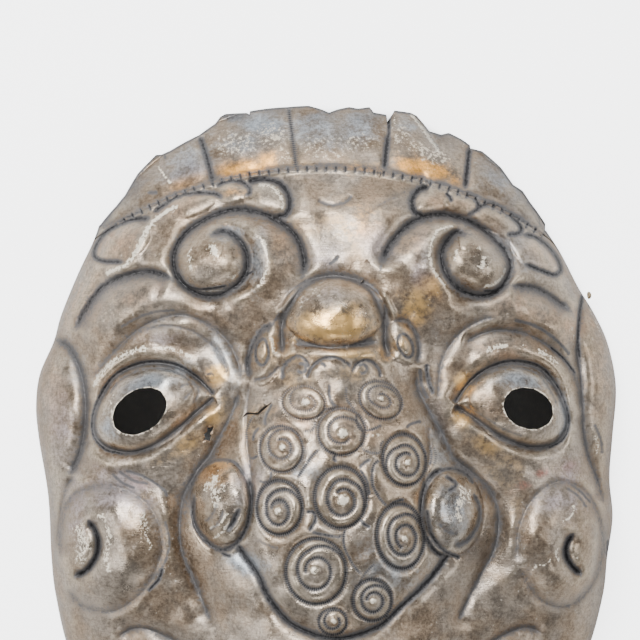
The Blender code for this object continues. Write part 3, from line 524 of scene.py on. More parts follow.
CHEEKS = FacePart(
    "cheeks",
    masses=(Mass(-96, -37, 26, 30, 0, 10, 1.6), Mass(105, -36, 22, 30, 0, 10, 1.6)),
    chases=(
        Chase(
            (
                (-119, -44), (-119, -28), (-114.5, -15.5), (-104, -10.5), (-91, -11), (-81, -17), (-75.3, -25),
                (-73.3, -36), (-75, -45), (-82, -57), (-95, -66), (-109, -64), (-117, -55),
            ),
            3.0, 4, 6, 7, 0.35,
        ),
        Chase(((-107.5, -24.5), (-103.7, -29), (-101.8, -35), (-103, -42), (-107.5, -48), (-114, -51)), 7.0, 2.6, 3.4),
        Chase(
            (
                (85.5, -45), (86, -30), (91.5, -17), (100, -9.5), (109, -8.5), (118, -14.5), (123.3, -27),
                (124.3, -40), (119, -55), (108, -64), (95, -60), (85.5, -45),
            ),
            3.0, 4, 5, 7, 0.35,
        ),
        Chase(((111.5, -30), (108, -35.5), (107.5, -41), (110.5, -46.5), (116, -50.5)), 7.0),
        fine((-96, -4), (-91, -8.5), (-85, -11), depth=0.5, reach=0.8, dark=0.6),
        fine((-93, -3), (-86, -7.5), (-79, -9), depth=0.5, reach=0.8, dark=0.6),
        fine((-90, -3), (-82, -5.5), (-73, -11), (-71, -15), depth=0.6, reach=0.8, dark=0.7),
        fine((-72, -25), (-70, -34), (-72, -44), (-78, -52), depth=0.7, reach=1.0, dark=0.5),
        fine((-73, -46), (-75, -52), (-80, -57), depth=1.4, reach=1.3, dark=1.0),
        fine((109, -9), (114, -12.5), (119, -18), depth=0.6, reach=0.7, dark=0.6),
        fine((107, -10.5), (113, -14.5), (117, -20), depth=0.5, reach=0.7, dark=0.5),
    ),
    # Cream on the cheek curls: painted highlights, partly rubbed silver.
    rubs_and_highlights=(
        RubAndHighlight(((-112, -27), (-108.5, -35), (-110.5, -45)), 3.2, 0.7),
        RubAndHighlight(((-103, -22), (-98.5, -26), (-97, -33), (-98.5, -42), (-97, -49)), 1.5, 0.75),
        RubAndHighlight(((-82, -21), (-81, -30), (-77.5, -38)), 2.4, 0.55),
        RubAndHighlight(((-71, -46), (-76, -51)), 1.0, 0.5),
        RubAndHighlight(((110.5, -18), (111, -21), (108.5, -24.5), (105.5, -25.5)), 0.6, 0.9),
        RubAndHighlight(((104, -37), (103, -41), (104.5, -43.5)), 0.8, 0.8),
        RubAndHighlight(((101, -42), (98, -45), (94.5, -45.5), (92, -48)), 0.6, 0.8),
        RubAndHighlight(((112, -40), (114, -44)), 1.5, 0.6),
    ),
)

EARS = FacePart(
    "ears",
    chases=(
        Chase(((-124, 56.5), (-115.5, 52), (-110, 41), (-107.7, 28), (-108.4, 14), (-111, 3), (-116, -7)),
              8.0, 5, 5, 7, 0.65),
        Chase(((-111, -3), (-117, -12), (-119.8, -26), (-121.5, -40)), 4.0, 4, 3, 6, 0.3),
        Chase(((115.5, 74), (113.7, 62), (112.6, 51), (114.2, 40), (115, 28), (115.6, 14), (118, 2), (122, -8),
               (125, -20)), 7.0, 5, 5, 7, 0.4),
        fine((115.3, 76), (113.6, 66), (113, 55), (113.8, 47), depth=1.6, reach=1.4, dark=1.0),
        fine((120, 18), (122, 14), (123.5, 10), (124, 4), depth=0.9, reach=1.2, dark=0.5),
        fine((126.8, -34), (126.5, -42), depth=0.6, reach=0.8, dark=0.8),
    ),
    # Cream on the ears' rims: painted highlights, partly rubbed silver.
    rubs_and_highlights=(
        RubAndHighlight(((-115.5, 49), (-112, 41), (-110.6, 33)), 1.2, 0.4),
        RubAndHighlight(((109, 62), (111.2, 57), (112, 51)), 1.4, 0.5),
        RubAndHighlight(((118, 70), (121.5, 63), (124.5, 55)), 0.7, 0.45),
        RubAndHighlight(((121, 13), (121.8, 8), (121, 4)), 1.4, 0.6),
    ),
)

LOWER_FACE = FacePart(
    "lower_face",
    masses=(Mass(4, -97, 66, 18, 0, 10, 1.4), Mass(4, -127, 50, 14, 0, 8), Mass(4, -150, 46, 14, 0, 7, 1.0)),
    chases=(
        Chase(((-95, -79), (-80, -74), (-44, -92), (-20, -100), (28, -100), (52, -92), (86, -74), (99, -78)),
              5.0, 4, 5, 8, 0.5),
        Chase(((-88, -93), (-72, -96), (-50, -108), (-24, -117), (32, -117), (58, -108), (78, -96), (92, -93)),
              10.0, 4, 4, 8, 0.9),
        Chase(((-62, -117), (-40, -129), (-18, -135), (26, -135), (46, -129), (66, -117)), 4.5, 4, 5, 8, 0.5),
    ),
)

WIND = (1.0, 0.66, 0.56, 0.56, 0.52, 0.36, 0.30)

CURLS = (
    Curl(-10.0, 27.4, 9.6, 7.4, -8, (0.8, 0.2), 90, (1.0, 0.66, 0.50, 0.52, 0.40), 2.6, 0.9, 0.8, 0.62),
    Curl(24.4, 28.6, 9.9, 8.0, -28, (0.3, 0.9), -10, (0.98, 0.80, 0.66, 0.44, 0.48, 0.30, 0.2), 1.5, 1.0, 0.85, 0.8),
    Curl(6.9, 14.6, 10.6, 10.4, 0, (0.4, -0.6), -25, (1.0, 0.66, 0.60, 0.48, 0.40), 3.0, 1.2, 0.95, 0.85),
    Curl(-19.9, 6.8, 9.6, 10.2, 10, (0.3, 0.9), 30, (1.0, 0.74, 0.50, 0.44, 0.42, 0.36), 2.1, 1.3, 1.0, 0.85),
    Curl(34.9, 2.0, 9.6, 11.4, 12, (1.6, -1.0), 205, (1.0, 0.62, 0.60, 0.62, 0.54, 0.34, 0.30), 1.8, 1.8, 1.2, 1.0, -1),
    Curl(6.6, -14.6, 11.6, 13.6, 0, (1.2, -1.4), -35, WIND, 3.4),
    Curl(-20.8, -19.2, 10.2, 12.0, 0, (-0.6, -1.4), 0, (1.0, 0.68, 0.54, 0.60, 0.42, 0.34, 0.32), 2.1),
    Curl(33.2, -32.0, 10.6, 14.4, 4, (1.8, -1.0), 0, (1.0, 0.66, 0.58, 0.54, 0.58, 0.36, 0.30, 0.3), 1.9),
    Curl(-4.5, -47.5, 13.4, 14.6, 0, (-0.6, 0.4), 20, (1.0, 0.66, 0.58, 0.56, 0.50, 0.36, 0.30), 2.4, 2.0, 1.3),
    Curl(20.6, -60.4, 8.6, 9.2, 0, (0.4, -0.4), 10, WIND, 1.9),
    Curl(3.0, -70.0, 6.2, 5.8, 0, (0.3, 0.2), 60, (1.0, 0.66, 0.56, 0.5, 0.4), 1.6, 1.2, 0.9),
)

FACE = (CREST, BROWS, LOBES, EYES, BRIDGE, MUZZLE, NOSTRILS, CHEEKS, EARS, LOWER_FACE)


def ease(t: np.ndarray) -> np.ndarray:
    """0 to 1 with a level start and end."""
    t = np.clip(t, 0.0, 1.0)
    return t * t * (3.0 - 2.0 * t)


def smooth_line(points: tuple, per_span: int = 8) -> np.ndarray:
    """A Catmull-Rom line through the points.

    Args:
        points: The points it runs through.
        per_span: The steps between two of them.

    Returns:
        The line's points as rows.
    """
    p = np.asarray(points, float)
    padded = np.vstack([p[0], p, p[-1]])
    t = np.linspace(0.0, 1.0, per_span, endpoint=False)[:, None]
    spans = []
    for a, b, c, d in zip(padded, padded[1:], padded[2:], padded[3:]):
        bend = 3 * b - 3 * c + d - a
        spans.append(0.5 * (2 * b + (c - a) * t + (2 * a - 5 * b + 4 * c - d) * t**2 + bend * t**3))
    return np.vstack(spans + [p[-1]])


def ray_to_circle(theta: np.ndarray, centre: tuple, radius: float) -> np.ndarray:
    """The distance from the origin to a circle round it, along each direction."""
    along = np.cos(theta) * centre[0] + np.sin(theta) * centre[1]
    return along + np.sqrt(along**2 - (centre[0] ** 2 + centre[1] ** 2 - radius**2))


def local(x: np.ndarray, y: np.ndarray, form: Mass | Boss | Curl | Stain) -> tuple[np.ndarray, np.ndarray]:
    """A point in a form's own axes, in its half sizes."""
    turn = math.radians(form.turn)
    dx, dy = x - form.x, y - form.y
    u = (dx * math.cos(turn) + dy * math.sin(turn)) / form.half_x
    v = (-dx * math.sin(turn) + dy * math.cos(turn)) / form.half_y
    return u, v


def near_line(points: np.ndarray, x: np.ndarray, y: np.ndarray, reach: float) -> tuple:
    """Finds the points near a line.

    Args:
        points: The line.
        x: The points' places across.
        y: The points' places along.
        reach: How far from the line to look.

    Returns:
        Their indices, distances, sides, places along the line, and the line's length.
    """
    lo, hi = points.min(0) - reach, points.max(0) + reach
    near = np.nonzero((x > lo[0]) & (x < hi[0]) & (y > lo[1]) & (y < hi[1]))[0]
    px, py = x[near], y[near]
    best = np.full(len(near), 1e9)
    side = np.ones(len(near))
    place = np.zeros(len(near))
    run = 0.0
    for a, b in zip(points[:-1], points[1:]):
        step = b - a
        length = float(np.hypot(*step))
        low, high = np.minimum(a, b) - reach, np.maximum(a, b) + reach
        k = np.nonzero((px > low[0]) & (px < high[0]) & (py > low[1]) & (py < high[1]))[0]
        t = np.clip(((px[k] - a[0]) * step[0] + (py[k] - a[1]) * step[1]) / length**2, 0, 1)
        off_x, off_y = px[k] - a[0] - t * step[0], py[k] - a[1] - t * step[1]
        distance = np.hypot(off_x, off_y)
        closer = distance < best[k]
        k = k[closer]
        best[k] = distance[closer]
        side[k] = step[0] * off_y[closer] - step[1] * off_x[closer]
        place[k] = run + t[closer] * length
        run += length
    return near, best, side, place, run


@dataclass(frozen=True)
class Outline:
    """The mask's plan outline, even or torn, as a radius for each direction."""

    crest_centre: tuple = (-1.5, 41.2)
    crest_radius: float = 119.3
    steps: int = 1440
    softness: float = 0.16
    kinks_reach: float = 14.0
    side: tuple = (
        (99.0, 104.5), (105.8, 94.0), (113.4, 79.2), (121.0, 66.6), (127.0, 53.0), (130.5, 34.0),
        (128.9, 11.7), (127.6, -6.8), (129.0, -24.3), (126.6, -42.0), (124.5, -60.0), (117.0, -86.0),
        (102.0, -113.0), (78.0, -137.0), (46.0, -153.2), (12.0, -160.1), (-12.0, -160.1), (-46.0, -153.2),
        (-77.0, -137.0), (-101.0, -113.0), (-115.0, -86.0), (-121.5, -60.0), (-123.6, -42.0),
        (-125.0, -15.0), (-129.2, 11.0), (-130.5, 25.7), (-128.8, 40.0), (-122.6, 54.5), (-119.0, 67.0),
        (-111.6, 85.1), (-105.0, 99.0), (-102.0, 107.0),
    )
    torn_edge: tuple = (
        (-102.0, 0.7), (-94.5, -0.4), (-90.5, -0.3), (-83.3, 2.5), (-77.9, 3.1), (-74.7, 3.6), (-72.9, 2.2),
        (-69.3, 1.3), (-56.7, 0.6), (-49.1, 2.2), (-46.4, 4.1), (-44.1, 4.5), (-35.1, 1.8), (-34.2, 0.6),
        (-33.8, 2.2), (-28.4, 1.7), (-17.1, 0.6), (-7.7, 0.3), (-1.8, -1.6), (1.4, -3.0), (5.0, -1.4),
        (10.4, 0.2), (14.4, -0.1), (19.4, 1.4), (21.6, -0.7), (27.3, -0.4), (28.5, -5.0), (30.2, 2.4),
        (37.4, 3.6), (40.0, 3.2), (43.7, 0.9), (46.8, -1.2), (51.8, -0.3), (54.5, 2.1), (60.3, 2.4),
        (63.9, 2.1), (64.4, 1.0), (68.9, 3.0), (77.4, 2.5), (83.7, 0.6), (87.3, 1.9), (90.9, 1.1),
        (98.1, 0.9), (99.0, -0.8),
    )

    def tables(self) -> dict[str, np.ndarray]:
        """Works the outline out once.

        Returns:
            The directions, the even and torn radii, and a softened radius on an even grid.
        """
        line = smooth_line(self.side, 10)
        first = math.atan2(self.side[0][1], self.side[0][0])
        last = math.atan2(self.side[-1][1], self.side[-1][0])
        crest = np.linspace(first, last, self.steps)[1:-1]
        arc = ray_to_circle(crest, self.crest_centre, self.crest_radius)
        off = np.interp(arc * np.cos(crest), *np.transpose(self.torn_edge))
        theta = np.concatenate([np.arctan2(line[:, 1], line[:, 0]), crest]) % (2 * np.pi)
        reach = np.hypot(line[:, 0], line[:, 1])
        order = np.argsort(theta)
        even = np.concatenate([reach, arc])[order]
        torn = np.concatenate([reach, arc + off])[order]
        grid = np.linspace(0, 2 * np.pi, self.steps, endpoint=False)
        waves = np.fft.rfft(np.interp(grid, theta[order], even, period=2 * np.pi))
        waves *= np.exp(-0.5 * (np.arange(len(waves)) * self.softness) ** 2)
        soft = np.fft.irfft(waves, self.steps)
        return {"theta": theta[order], "even": even, "torn": torn, "grid": grid, "soft": soft}


@dataclass
class Ground:
    """What the relief gives at a set of plan points."""

    height: np.ndarray
    share: np.ndarray
    on_crest: np.ndarray
    dark: np.ndarray
    bright: np.ndarray
    punch_place: np.ndarray
    punch_weight: np.ndarray

    def darken(self, amount: np.ndarray) -> None:
        """Lays soot where there is less."""
        self.dark = np.maximum(self.dark, amount)


@dataclass
class Relief:
    """The mask's front as a height over the floor, with the traces that its lines leave."""

    outline: Outline = field(default_factory=Outline)
    parts: tuple = FACE
    curls: tuple = CURLS
    dome_height: float = 62.0
    dome_fullness: float = 2.6
    rim_guard: float = 0.06
    band_centre: tuple = (-2.0, -47.4)
    band_radius: float = 179.7
    band_fillet: tuple = (1.2, 1.8)
    band_pitch: float = 4.3
    band_ends: tuple = (-97.0, 99.0)
    crest_edge_height: float = 12.0
    crest_swell: float = 12.0
    crest_starts_y: float = 60.0
    rib_fade: float = 5.0
    piece_length: float = 9.0
    curl_swell: float = 2.6
    knob_height: float = 1.4
    rub_and_highlight_strength: float = 0.76
    tear_edge_dark_reach: float = 0.9
    dents: float = 0.16
    dent_seed: int = 11
    eye_holes: tuple = ((-83.3, 23.6, 13.0, 9.3, 33.0), (90.4, 24.8, 11.4, 8.9, -22.0))

    def __post_init__(self) -> None:
        """Works out the outline and the hammered unevenness."""
        self.table = self.outline.tables()
        rng = np.random.default_rng(self.dent_seed)
        count = 48
        length = rng.uniform(7.0, 26.0, count)
        angle = rng.uniform(0, 2 * np.pi, count)
        self.wave = (np.cos(angle) * 2 * np.pi / length, np.sin(angle) * 2 * np.pi / length)
        self.wave_start = rng.uniform(0, 2 * np.pi, count)
        self.wave_size = self.dents * (length / 16.0) ** 0.8

    def radius(self, theta: np.ndarray, torn: bool = False) -> np.ndarray:
        """The outline's radius along each direction."""
        values = self.table["torn" if torn else "even"]
        return np.interp(theta % (2 * np.pi), self.table["theta"], values, period=2 * np.pi)

    def share(self, x: np.ndarray, y: np.ndarray) -> np.ndarray:
        """How far out a point lies: 0 at the middle and 1 at the even outline."""
        theta = np.arctan2(y, x)
        reach = np.hypot(x, y)
        even = self.radius(theta)
        soft = np.interp(theta % (2 * np.pi), self.table["grid"], self.table["soft"], period=2 * np.pi)
        return reach / (soft + (even - soft) * np.clip(reach / even, 0, 1) ** self.outline.kinks_reach)

    def bare(self, x: np.ndarray, y: np.ndarray) -> tuple[np.ndarray, np.ndarray, np.ndarray]:
        """The bare sheet: a dome, and the crest leaning back from the milled band.

        Args:
            x: Places across.
            y: Places along.

        Returns:
            The height, whether each point is on the crest, and its share of the way out.
        """
        theta = np.arctan2(y, x)
        share = self.share(x, y)
        dome = self.dome_height * np.sqrt(np.clip(1 - share**self.dome_fullness, 0, 1))
        band = ray_to_circle(theta, self.band_centre, self.band_radius) / self.radius(theta)
        band = np.clip(band, 0, 0.999)
        band_height = self.dome_height * np.sqrt(1 - band**self.dome_fullness) - 2.0
        edge = self.crest_edge_height * ease((y - 95) / 25)
        t = np.clip((share - band) / (1 - band), 0, 1.1)
        crest = band_height + (edge - band_height) * t + self.crest_swell * t * (1 - t)
        on_crest = (y > self.crest_starts_y) & (share > band)
        return np.where(on_crest, crest, dome), on_crest, share

    def band(self, x: np.ndarray, y: np.ndarray) -> tuple[np.ndarray, np.ndarray]:
        """The distance from the milled band's middle line, and the place along it, from the crown."""
        dx, dy = x - self.band_centre[0], y - self.band_centre[1]
        return np.hypot(dx, dy) - self.band_radius, np.arctan2(dx, dy) * self.band_radius

    def cut_line(self, chase: Chase, x: np.ndarray, y: np.ndarray, cut: np.ndarray, ground: Ground) -> None:
        """Adds one chased line to the cut and to the traces.

        The line is cut as short pieces that blend into each other, so no crease forms between its own turns.

        Args:
            chase: The line.
            x: Places across.
            y: Places along.
            cut: The sum of cubed depths so far.
            ground: The traces so far.
        """
        reach = 3.6 * max(chase.left, chase.right)
        points = smooth_line(chase.path)
        along = np.concatenate([[0.0], np.cumsum(np.hypot(*np.diff(points, axis=0).T))])
        total = along[-1]
        lo, hi = points.min(0) - reach, points.max(0) + reach
        near = np.nonzero((x > lo[0]) & (x < hi[0]) & (y > lo[1]) & (y < hi[1]))[0]
        px, py = x[near], y[near]
        knots = np.linspace(0.0, total, max(1, round(total / self.piece_length)) + 1)
        step = knots[1]
        for knot in knots:
            held = np.nonzero((along >= knot - step - 0.8) & (along <= knot + step + 0.8))[0]
            if len(held) < 2:
                continue
            piece, first = points[held[0] : held[-1] + 1], along[held[0]]
            k, distance, side, place, _ = near_line(piece, px, py, reach)
            place = place + first
            share = 1.0 - ease(np.abs(place - knot) / step)
            wall = np.where(side > 0, chase.left, chase.right)
            ends = ease(place / chase.fade) * ease((total - place) / chase.fade)
            window = np.clip(1 - (distance / reach) ** 2, 0, 1) ** 2
            at = near[k]
            cut[at] += share * (chase.depth * np.exp(-distance / wall) * ends * window) ** 3
            wide = 0.35 + 0.62 * wall
            core = np.exp(-((distance / np.minimum(wide, 0.55 + 0.14 * wall)) ** 2))
            flank = np.exp(-((distance / wide) ** 2))
            trace = chase.dark * ends**0.5 * (0.58 * flank + 0.42 * core)
            ground.dark[at] = np.maximum(ground.dark[at], np.where(share > 0, trace, 0))
            if chase.punched:
                weight = np.where(share > 0, ends**0.5 * np.exp(-((distance / (wide + 0.3)) ** 2)), 0)
                closer = weight > ground.punch_weight[at]
                ground.punch_weight[at] = np.where(closer, weight, ground.punch_weight[at])
                ground.punch_place[at] = np.where(closer, place, ground.punch_place[at])

    def raise_curl(self, curl: Curl, x: np.ndarray, y: np.ndarray, relief: np.ndarray, ground: Ground) -> None:
        """Raises one muzzle curl and its knob.

        Args:
            curl: The curl.
            x: Places across.
            y: Places along.
            relief: The relief so far, raised in place.
            ground: The traces so far.
        """
        u, v = local(x, y, curl)
        relief += self.curl_swell * np.sqrt(np.clip(1 - u * u - v * v, 0, 1))
        out = np.hypot(x - curl.x - curl.knob[0], y - curl.y - curl.knob[1]) / curl.knob_size
        relief += self.knob_height * np.sqrt(np.clip(1 - out**2, 0, 1))
        # Gives the knob's top a cream spot, partly rubbed silver and partly a painted highlight.
        ground.bright[:] = np.maximum(ground.bright, 0.8 * np.exp(-((out / 0.8) ** 4)))

    def survey(self, x: np.ndarray, y: np.ndarray) -> Ground:
        """Works out the front at plan points.

        Args:
            x: Places across.
            y: Places along.

        Returns:
            Its height and the traces that its lines leave.
        """
        bare, on_crest, share = self.bare(x, y)
        nothing = np.zeros_like(x)
        ground = Ground(bare, share, on_crest, *(nothing.copy() for _ in range(4)))
        relief, cut = nothing.copy(), nothing.copy()
        for part in self.parts:
            for mass in part.masses:
                u, v = local(x, y, mass)
                relief += np.where(on_crest, 0, mass.height * np.exp(-((u * u + v * v) ** mass.square)))
            for boss in part.bosses:
                u, v = local(x, y, boss)
                relief += boss.height * np.clip(1 - u * u - v * v, 0, 1) ** boss.section
            for rib in part.ribs:
                k, distance, _, place, total = near_line(smooth_line(rib.path), x, y, 2.6 * rib.width)
                ends = ease(place / self.rib_fade) * ease((total - place) / self.rib_fade)
                relief[k] += rib.height * np.exp(-((distance / rib.width) ** 2)) * ends
            for chase in part.chases:
                self.cut_line(chase, x, y, cut, ground)
            # Lays the cream lines, part painted highlight and part rubbed silver.
            for rubs_and_highlights in part.rubs_and_highlights:
                k, distance, _, place, total = near_line(smooth_line(rubs_and_highlights.path), x, y, 3 * rubs_and_highlights.width)
                ends = ease(0.3 + place / 1.5) * ease(0.3 + (total - place) / 1.5)
                rub_and_highlight_mask = self.rub_and_highlight_strength * rubs_and_highlights.strength * np.exp(-((distance / rubs_and_highlights.width) ** 2)) * ends
                ground.bright[k] = np.maximum(ground.bright[k], rub_and_highlight_mask)
        for curl in self.curls:
            self.raise_curl(curl, x, y, relief, ground)
            for line in curl.lines():
                self.cut_line(line, x, y, cut, ground)
        cut = cut ** (1 / 3)
        relief += self.mill_band(x, y, ground)
        # Darkens the crest within about a millimetre of its torn edge.
        to_tear = self.radius(np.arctan2(y, x), torn=True) - np.hypot(x, y)
        ground.darken(np.where(on_crest, 0.8 * np.exp(-((to_tear / self.tear_edge_dark_reach) ** 2)), 0))
        for hole in self.eye_holes:
            u, v = local(x, y, Stain(*hole, 0.0))
            off = (np.hypot(u, v) - 1) * (hole[2] + hole[3]) / 2
            ground.bright = np.maximum(ground.bright, 0.66 * np.exp(-((off / 0.7) ** 2)))
        relief += 0.12 * ground.bright
        across, along = self.wave
        for kx, ky, start, size in zip(across, along, self.wave_start, self.wave_size):
            relief += size * np.sin(kx * x + ky * y + start) * 0.42
        guard = np.where(on_crest, 1.0, ease((1 - share) / self.rim_guard))
        ground.height = bare + (relief - cut) * guard
        return ground

    def mill_band(self, x: np.ndarray, y: np.ndarray, ground: Ground) -> np.ndarray:
        """The fillet under the milled beads, with the soot that lies between them.

        Args:
            x: Places across.
            y: Places along.
            ground: The traces so far.

        Returns:
            The fillet's height.
        """
        off, place = self.band(x, y)
        here = (y > self.crest_starts_y) & (np.abs(off) < 6)
        ends = ease((x - self.band_ends[0]) / 4) * ease((self.band_ends[1] - x) / 4)
        between = np.abs((place / self.band_pitch) % 1.0 - 0.5) * self.band_pitch
        stroke = np.exp(-((between / 0.62) ** 2)) * np.exp(-((off / 1.75) ** 6))
        strip = 0.30 * np.exp(-((off / 2.4) ** 6))
        soot = np.where(here, np.maximum(stroke, strip) * ends, 0)
        ground.darken(soot)
        fillet = self.band_fillet[0] * np.exp(-((off / self.band_fillet[1]) ** 4))
        return np.where(here, fillet - 0.5 * stroke * ends, 0)


@dataclass(frozen=True)
class Tone:
    """One colour of the metal and the patches where it lies."""

    name: str
    colour: tuple
    patches: tuple


GILT = (
    Stain(-8, 134, 10, 3, 0, 0.35), Stain(18, 134, 12, 3, -3, 0.4), Stain(-32, 119, 5, 4, 0, 0.4),
    Stain(0, 106, 20, 12, 0, 0.35), Stain(-24, 96, 8, 12, 0, 0.3), Stain(36, 98, 8, 10, 30, 0.3),
    Stain(3, 62, 20, 8, 0, 1.0), Stain(10, 68, 10, 6, 0, 0.6), Stain(-10, 56, 8, 3, 0, 0.7),
    Stain(14, 49, 14, 3, 0, 0.7), Stain(-12, 48, 10, 4, 0, 0.5), Stain(40, 70, 8, 12, -20, 0.75),
    Stain(46, 79, 7, 8, 0, 0.5), Stain(-48, 40, 6, 6, 30, 0.9), Stain(-50, 22, 8, 5, 40, 0.7),
    Stain(-62, 9, 9, 5, 40, 0.65), Stain(-72, 2, 10, 4, 25, 0.45), Stain(-47, 29, 5, 4, 0, 0.5),
    Stain(62, 36, 6, 6, 45, 0.8), Stain(61, 21, 6, 6, -30, 0.7), Stain(72, 8, 10, 6, -35, 0.55),
    Stain(82, 0, 12, 5, -30, 0.4), Stain(-25, 50, 5, 10, -5, 0.5), Stain(33, 54, 5, 8, 25, 0.6),
    Stain(-14, 38, 14, 5, 0, 0.45), Stain(12, 40, 14, 5, 0, 0.45), Stain(-48, 0, 8, 6, 0, 0.5),
    Stain(15, 94, 10, 10, 30, 0.35), Stain(18, 110, 12, 6, 20, 0.35), Stain(-10, 100, 8, 6, 0, 0.25),
    Stain(26, 49, 8, 4, 0, 0.6), Stain(-33, 18, 5, 8, 0, 0.45), Stain(-26, 24, 5, 5, 0, 0.4),
    Stain(70, 42, 10, 4, 30, 0.4), Stain(78, -6, 10, 6, -20, 0.35), Stain(-85, 54, 12, 3, 20, 0.2),
    Stain(118, 55, 4, 12, -10, 0.2), Stain(85, -20, 6, 8, 0, 0.3),
)

